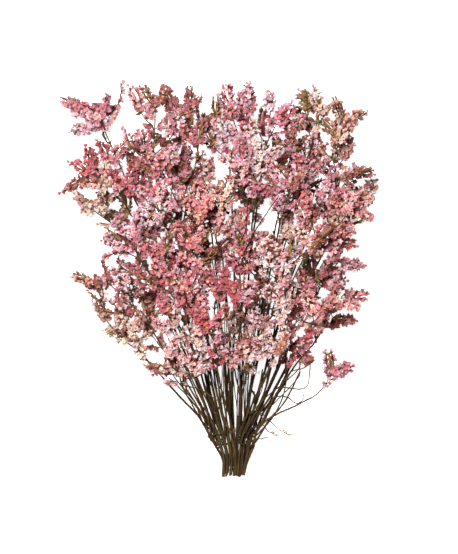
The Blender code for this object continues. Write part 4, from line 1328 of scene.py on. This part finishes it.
def painted_shade_of(tint):
    """Painted shade: the head's colour darkened, for the mass in the middle of a head."""
    return tuple(channel * share for channel, share in zip(tint, SHADE_SHARES))


def in_opening(place):
    """Whether a place lies where the heads stand apart and leave an opening."""
    return any(math.hypot(place[0] - x, place[1] - y) < radius for x, y, radius in OPENINGS)


def set_lobe(growth, base, tip, radius, tint, draw):
    """The short spikes that fill one lobe, and the dark mass of tubes between them, painted as the lobe's
    colour in shade.
    """
    way = tip - base
    length = way.length
    along = way.normalized()
    across = any_across(along)
    size = min(radius / LOBE_RADIUS, 1.0) ** THIN_LOBE_POWER
    start = draw.uniform(-SPIKE_TURN, SPIKE_TURN)
    ground = varied(draw, pick(draw, FLORET_TINTS[tint]), HEAD_VARIETY, HEAD_WARMTH)
    set_scales(growth, base, along, draw)
    husk_and_shade = varied(draw, pick(draw, HUSK_AND_SHADE_TINTS), GREEN_VARIETY)
    first, last = LOBE_CORE_SPAN
    shares = np.linspace(first, last, len(LOBE_CORE))
    core = [base + along * length * share for share in shares]
    kept = []
    for number in range(SPIKES):
        outward = Quaternion(along, start + 2 * math.pi * number / SPIKES) @ across
        reach = draw.uniform(*SPIKE_TIP)
        bulge = draw.uniform(*SPIKE_BULGE) * radius
        course = (*SPIKE_COURSE, (reach, SPIKE_TUCK))
        path = [base + along * length * up + outward * bulge * out for up, out in course]
        if not in_opening(path[-2]):
            kept.append((path, outward))
    if len(kept) > 1:
        # the core's colour is painted shade: the head's colour darkened
        growth.stalk(core, [girth * radius / LOBE_RADIUS for girth in LOBE_CORE], painted_shade_of(ground))
    for path, outward in kept:
        # the stalk darkens towards its end among the florets, partly painted shade
        growth.stalk(path, tapered(path, SPIKE_GIRTH * STALK_TAPER, SPIKE_GIRTH), STALK_TINT, husk_and_shade)
        own = ground if draw.uniform() < SAME_SPIKE else pick(draw, FLORET_TINTS[tint])
        set_spike(growth, path, outward, SPIKE_FLORETS, size, tint, own, draw)


def set_side_spikes(growth, path, tint, draw):
    """Short spikes that leave the upper part of a stalk by turns on either side."""
    path = [Vector(place) for place in path]
    lengths = np.cumsum([0.0] + [(after - before).length for before, after in zip(path, path[1:])])
    height = lengths[-1] - SIDE_SPIKE_STEP * SIDE_SPIKE_TOP
    turn = draw.uniform(0, 2 * math.pi)
    while height > lengths[-1] * SIDE_SPIKE_START:
        low = int(np.searchsorted(lengths, height)) - 1
        share = (height - lengths[low]) / (lengths[low + 1] - lengths[low])
        place = path[low].lerp(path[low + 1], share)
        along = (path[low + 1] - path[low]).normalized()
        outward = Quaternion(along, turn) @ any_across(along)
        reach = SIDE_SPIKE_LENGTH * draw.uniform(*SIDE_SPIKE_SPREAD)
        corners = [place + along * reach * up + outward * reach * out for up, out in SIDE_SPIKE_COURSE]
        spike = [Vector(spot) for spot in smooth_path(corners, SPIKE_POINTS)]
        if not in_opening(spike[-1]):
            husk_and_shade = varied(draw, pick(draw, HUSK_AND_SHADE_TINTS), GREEN_VARIETY)
            girths = tapered(spike, SIDE_SPIKE_GIRTH * STALK_TAPER, SIDE_SPIKE_GIRTH)
            # the stalk darkens towards its end among the florets, partly painted shade
            growth.stalk(spike, girths, STALK_TINT, husk_and_shade)
            ground = pick(draw, FLORET_TINTS[tint])
            set_spike(growth, spike, outward, SIDE_SPIKE_FLORETS, SIDE_FLORET_SIZE, tint, ground, draw)
        height -= SIDE_SPIKE_STEP * draw.uniform(*SIDE_SPIKE_STAGGER)
        turn += math.radians(GOLDEN_ANGLE)


def axis_path(made, points):
    """The smooth path of a spray's axis, from the end of its stem."""
    return smooth_path([points[index] for index in [made["end"]] + made["axis"][1:]], STALK_POINTS)


def share_filler_heads(paths):
    """For each spray the small heads that it bears, each with its root on the spray's axis."""
    borne = [[] for path in paths]
    for x, y, heading in FILLER_HEADS:
        wanted = np.array((x, y - FILLER_TWIG))
        best = None
        for number, path in enumerate(paths):
            below = path[path[:, 1] < y - FILLER_TWIG * FILLER_DROP]
            if len(below):
                gaps = np.linalg.norm(below[:, :2] - wanted, axis=1)
                near = int(gaps.argmin())
                if best is None or gaps[near] < best[0]:
                    best = (gaps[near], number, below[near])
        root = Vector(best[2])
        height = min(max(root.z + FILLER_RISE, LOBE_RADIUS), FILLER_CEILING)
        borne[best[1]].append((root, Vector((x, y, height)), heading))
    return borne


def set_filler_head(growth, root, base, heading, tint, draw):
    """A small head on its own thin twig."""
    gap = base - root
    middle = root + gap * FILLER_BEND + Vector((-gap.y, gap.x, 0.0)) * draw.uniform(-FILLER_BOW, FILLER_BOW)
    twig = smooth_path((root, middle, base), STALK_POINTS)
    growth.stalk(twig, tapered(twig, TWIG_RADIUS, TWIG_RADIUS * TWIG_TAPER), STALK_TINT)
    set_side_spikes(growth, twig, tint, draw)
    heading += draw.uniform(-FILLER_SWING, FILLER_SWING)
    way = Vector(direction_of(heading, draw.uniform(*FILLER_PITCH)))
    reach = LOBE_LENGTH * draw.uniform(*FILLER_LENGTHS)
    set_lobe(growth, base, base + way * reach, LOBE_RADIUS * FILLER_GIRTH, tint, draw)


def paint_depth_shade(growths):
    """Paints shade on the florets that others cover, deeper the farther under the highest florets nearby
    they lie, and deepens or pales some patches.
    """
    found = [
        (growth, place)
        for growth in growths
        for place, row in enumerate(growth.rows)
        if row[1] == CALYX
    ]
    places = np.array([tuple(growth.rows[row][0]) for growth, row in found])
    cells = np.floor(places[:, :2] / ROOF_CELL).astype(int)
    cells -= cells.min(axis=0) - 1
    roof = np.zeros(cells.max(axis=0) + 2)
    np.maximum.at(roof, tuple(cells.T), places[:, 2])
    shifts = [(across, along) for across in (-1, 0, 1) for along in (-1, 0, 1)]
    near = np.array([np.roll(roof, shift, (0, 1)) for shift in shifts])
    roof = near.sum(axis=0) / np.maximum((near > 0).sum(axis=0), 1)
    depths = roof[tuple(cells.T)] - places[:, 2]
    # painted shade: none near the highest florets, full at DEEP_DEPTH under them
    shares = np.clip((depths - UNSHADED_DEPTH) / (DEEP_DEPTH - UNSHADED_DEPTH), 0, 1)
    for (growth, row), share in zip(found, shares):
        facts = list(growth.rows[row])
        patch = noise.noise(Vector(facts[0]) / PATCH_SIZE)
        swings = [1 + patch * swing for swing in PATCH_SWING]
        shades = [(1 - share * (1 - deep)) * swing for deep, swing in zip(DEEP_SHARES, swings)]
        red, green, blue = (min(channel * shade, 1.0) for channel, shade in zip(facts[5], shades))
        facts[5] = (red, min(green, red * PALEST), min(blue, red * PALEST))
        growth.rows[row] = tuple(facts)


def grow_spray(made, points, shares, fillers, number):
    """The growing points of one spray: its axis, its side twigs and its spikes of florets."""
    growth = Growth()
    draw = np.random.default_rng((SEED, SPRAY_DRAWS, number))
    axis = [points[index] for index in [made["end"]] + made["axis"][1:]]
    path = axis_path(made, points)
    girths = tapered(path, STEM_TOP_RADIUS * AXIS_TAPER, TWIG_RADIUS * TWIG_TAPER)
    growth.stalk(path, girths, STEM_TINTS[0], STALK_TINT)
    ways = {}
    for index, before, after in zip(made["axis"][1:], axis, axis[1:]):
        ways[index] = (after - before).normalized()
    for root, base in made["twigs"]:
        start, end = points[root], points[base]
        reach = (end - start).length
        low, high = TWIG_BENDS
        leave = start + ways[root] * reach * low[1] + (end - start) * low[0]
        corners = (start, leave, start.lerp(end, high[0]) + ways[root] * reach * high[1], end)
        twig = smooth_path(corners, TWIG_POINTS)
        growth.stalk(twig, tapered(twig, TWIG_RADIUS, TWIG_RADIUS * TWIG_TAPER), STALK_TINT)
        set_scales(growth, start, ways[root], draw)
        set_side_spikes(growth, twig, made["tint"], draw)
    set_side_spikes(growth, path, made["tint"], draw)
    for base, tip, radius, span in made["lobes"]:
        if shares[span] > SMALLEST_LOBE:
            set_lobe(growth, points[base], points[tip], radius * shares[span], made["tint"], draw)
    for root, base, heading in fillers:
        set_filler_head(growth, root, base, heading, made["tint"], draw)
    return growth


def wavering(path, draw):
    """A path with small kinks, straight at both ends."""
    path = np.array([tuple(place) for place in path])
    path[1:-1] += draw.normal(0, STEM_KINK, (len(path) - 2, 3))
    return path


def shuffled(main, draw):
    """A stem's path with its cut end a little aside and longer or shorter, as in a loose bunch."""
    aside = draw.uniform(-NECK_SHUFFLE, NECK_SHUFFLE)
    main = [Vector(place) for place in main]
    main[0].x *= NECK_PINCH
    main[0] += Vector((aside, draw.uniform(*END_STAGGER), 0.0))
    main[1].x += aside * COLLAR_SHUFFLE
    return main


def grow_stem(made, points, number):
    """The growing points of a stem: itself, its side stem and the thin shoots low on it."""
    growth = Growth()
    draw = np.random.default_rng((SEED, STEM_DRAWS, number))
    girth = draw.uniform(THINNEST_STEM, 1.0)
    tint = varied(draw, pick(draw, STEM_TINTS), STALK_VARIETY)
    main = smooth_path(shuffled([points[index] for index in made["main"]], draw), STEM_POINTS)
    top = STEM_TOP_RADIUS * TWIG_TAPER
    growth.stalk(wavering(main, draw), tapered(main, STEM_RADIUS * girth, top), tint)
    if made["side"]:
        side = smooth_path([points[index] for index in made["side"]], SIDE_STEM_POINTS)
        growth.stalk(wavering(side, draw), tapered(side, SIDE_RADIUS * girth, top), tint)
        set_scales(growth, Vector(side[0]), Vector(side[1] - side[0]).normalized(), draw)
    for companion in range(COMPANIONS):
        set_companion(growth, main, varied(draw, pick(draw, STEM_TINTS), STALK_VARIETY), draw)
    for shoot in HAND_SHOOTS:
        if shoot.stem == number + 1:
            set_hand_shoot(growth, main, shoot, draw)
    return growth


def set_companion(growth, main, tint, draw):
    """A thin shoot that leaves a stem low down and runs up beside it into the heads."""
    first = int(draw.integers(*COMPANION_ROOTS))
    last = min(first + int(draw.integers(*COMPANION_SPAN)), len(main) - 1)
    aside = draw.uniform(*COMPANION_ASIDE)
    end = main[-1][0]
    aside *= -math.copysign(1, end) if abs(end) > OUTER_STEM else pick(draw, (-1, 1))
    rise = draw.uniform(*COMPANION_RISE)
    path = np.array([tuple(place) for place in main[first:last + 1]])
    away = np.linspace(0, 1, len(path))[:, None] ** COMPANION_BEND
    path += away * np.array((aside, 0.0, rise))
    girth = draw.uniform(*COMPANION_GIRTH)
    growth.stalk(wavering(path, draw), tapered(path, girth, girth * STALK_TAPER), tint)


def set_hand_shoot(growth, main, shoot, draw):
    """A bent shoot from the nearest place on the stem, with a few florets where its table says so."""
    spots = [Vector(place) for place in main]
    corners = [Vector(corner) for corner in shoot.corners]
    root = min(spots, key=lambda spot: (spot - corners[0]).length)
    path = smooth_path([root] + corners, STALK_POINTS)
    tint = varied(draw, pick(draw, STEM_TINTS), STALK_VARIETY)
    end_tint = SHOOT_TINT if shoot.half_width < THICK_SHOOT else tint
    girths = tapered(path, shoot.half_width, shoot.half_width * STALK_TAPER)
    growth.stalk(wavering(path, draw), girths, tint, end_tint)
    for number in range(shoot.florets):
        place, along = along_path([Vector(spot) for spot in path], 1 - TUFT_STEP * number)
        way = (along + Vector(draw.uniform(-TUFT_LEAN, TUFT_LEAN, 3))).normalized()
        tint = varied(draw, SPRIG_TINT, SPRIG_VARIETY)
        set_floret(growth, place, way, TUFT_SIZE, tint, PALE_THROAT, draw)


def cut_ends(piece, pith):
    """Gives the cut end of a stem its own pale face."""
    piece.data.materials.append(pith)
    slot = len(piece.data.materials) - 1
    for face in piece.data.polygons:
        if face.normal.y < CUT_FACING and len(face.vertices) > 4:
            face.material_index = slot


def set_stage():
    """A pale floor, soft light from above and all round, and a camera that looks straight down."""
    bpy.ops.mesh.primitive_plane_add(size=FLOOR_SIZE)
    floor = bpy.context.object
    floor.name = "floor"
    floor.location.z = -FLOOR_DROP
    material, graph, shader, place = painted("pale_floor", {"Roughness": 0.9})
    graph.feed(shader["Base Color"], FLOOR_TINT)
    graph.feed(shader["Emission Color"], (1.0, 1.0, 1.0))
    graph.feed(shader["Emission Strength"], FLOOR_GLOW)
    floor.data.materials.append(material)
    floor.visible_diffuse = False  # its glow whitens the picture but doesn't light the bunch
    world = bpy.data.worlds.new("studio")
    world.use_nodes = True
    sky = world.node_tree.nodes["Background"].inputs
    sky["Color"].default_value = (*WORLD_TINT, 1.0)
    sky["Strength"].default_value = WORLD_LIGHT
    bpy.context.scene.world = world
    for name, place, size, power in LIGHTS:
        lamp = bpy.data.lights.new(name, "AREA")
        lamp.shape = "DISK"
        lamp.size = size
        lamp.energy = power
        lamp.color = KEY_TINT if name == "key" else SIDE_TINT
        light = bpy.data.objects.new(name, lamp)
        light.location = place
        light.rotation_euler = Vector(place).to_track_quat("Z", "Y").to_euler()
        light.visible_camera = False
        bpy.context.scene.collection.objects.link(light)
    camera = bpy.data.cameras.new("camera")
    camera.sensor_fit = "VERTICAL"
    camera.sensor_height = SENSOR
    camera.lens = SENSOR * CAMERA_HEIGHT / (PHOTO_HEIGHT * METRES_PER_PIXEL)
    camera.clip_end = CAMERA_REACH
    seat = bpy.data.objects.new("camera", camera)
    seat.location = (*PICTURE_CENTRE, CAMERA_HEIGHT + MIDDLE_HEIGHT)
    bpy.context.scene.collection.objects.link(seat)
    bpy.context.scene.camera = seat
    bpy.context.scene.view_settings.view_transform = "Standard"


def plan_bunch():
    """The stems and sprays of the settled plan, its points in place, and each lobe's share of thickness."""
    plan = Plan()
    stems = [plan_stem(plan, stem, number + 1) for number, stem in enumerate(STEMS)]
    sprays = [spray for stem in stems for spray in stem["sprays"]]
    lobes = [lobe for spray in sprays for lobe in spray["lobes"]]
    stubs = np.array([(spray["before"], spray["end"], spray["stub"]) for spray in sprays])
    settled, spans = settle(plan, lobes, stubs)
    shares = {one[3]: share for one, share in zip(lobes, fit_lobes(settled, spans, lobes))}
    shift = Vector((-PLAN_CENTRE[0], -PLAN_CENTRE[1], 0.0))
    points = [Vector(place) + shift for place in settled]
    return stems, sprays, points, shares


def growing_inputs(groups):
    """The growing tree's inputs for a spray."""
    inputs = {"Sides": STALK_SIDES, "Ridges": RIDGES, "Ridge Height": STALK_RIDGES}
    inputs["Bark"] = bark_material()
    inputs.update({part + " shapes": group for part, group in groups.items()})
    inputs["calyx material"] = calyx_material()
    inputs["corolla material"] = corolla_material()
    inputs["bract material"] = scale_material("bract", BRACT_EDGE_TINT)
    inputs["bud material"] = scale_material("bud", BUD_EDGE_TINT)
    return inputs


def dress():
    """Grows every piece of the bunch on its plan and sets it in place of its solid."""
    stems, sprays, points, shares = plan_bunch()
    tree = growing_tree()
    groups = flower_parts()
    pith = pith_material()
    spray_inputs = growing_inputs(groups)
    stem_inputs = {**spray_inputs, "Sides": STEM_SIDES, "Ridge Height": STEM_RIDGES}
    for number, stem in enumerate(stems):
        growth = grow_stem(stem, points, number)
        piece = grown("bark_" + stem["owner"][-2:], growth, tree, stem_inputs)
        cut_ends(piece, pith)
        settle_piece(piece, stem["owner"])
    fillers = share_filler_heads([axis_path(spray, points) for spray in sprays])
    growths = []
    for number, spray in enumerate(sprays):
        growths.append(grow_spray(spray, points, shares, fillers[number], number))
    # paints shade on the florets that others cover
    paint_depth_shade(growths)
    for spray, growth in zip(sprays, growths):
        piece = grown("florets_" + spray["owner"][-3:], growth, tree, spray_inputs)
        settle_piece(piece, spray["owner"])
    for group in groups.values():
        for shape in list(group.objects):
            bpy.data.objects.remove(shape)
        bpy.data.collections.remove(group)
    bpy.data.node_groups.remove(tree)


def settle_piece(piece, node):
    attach(piece, "root")
    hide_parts(node)


dress()
set_stage()
bpy.context.view_layer.update()
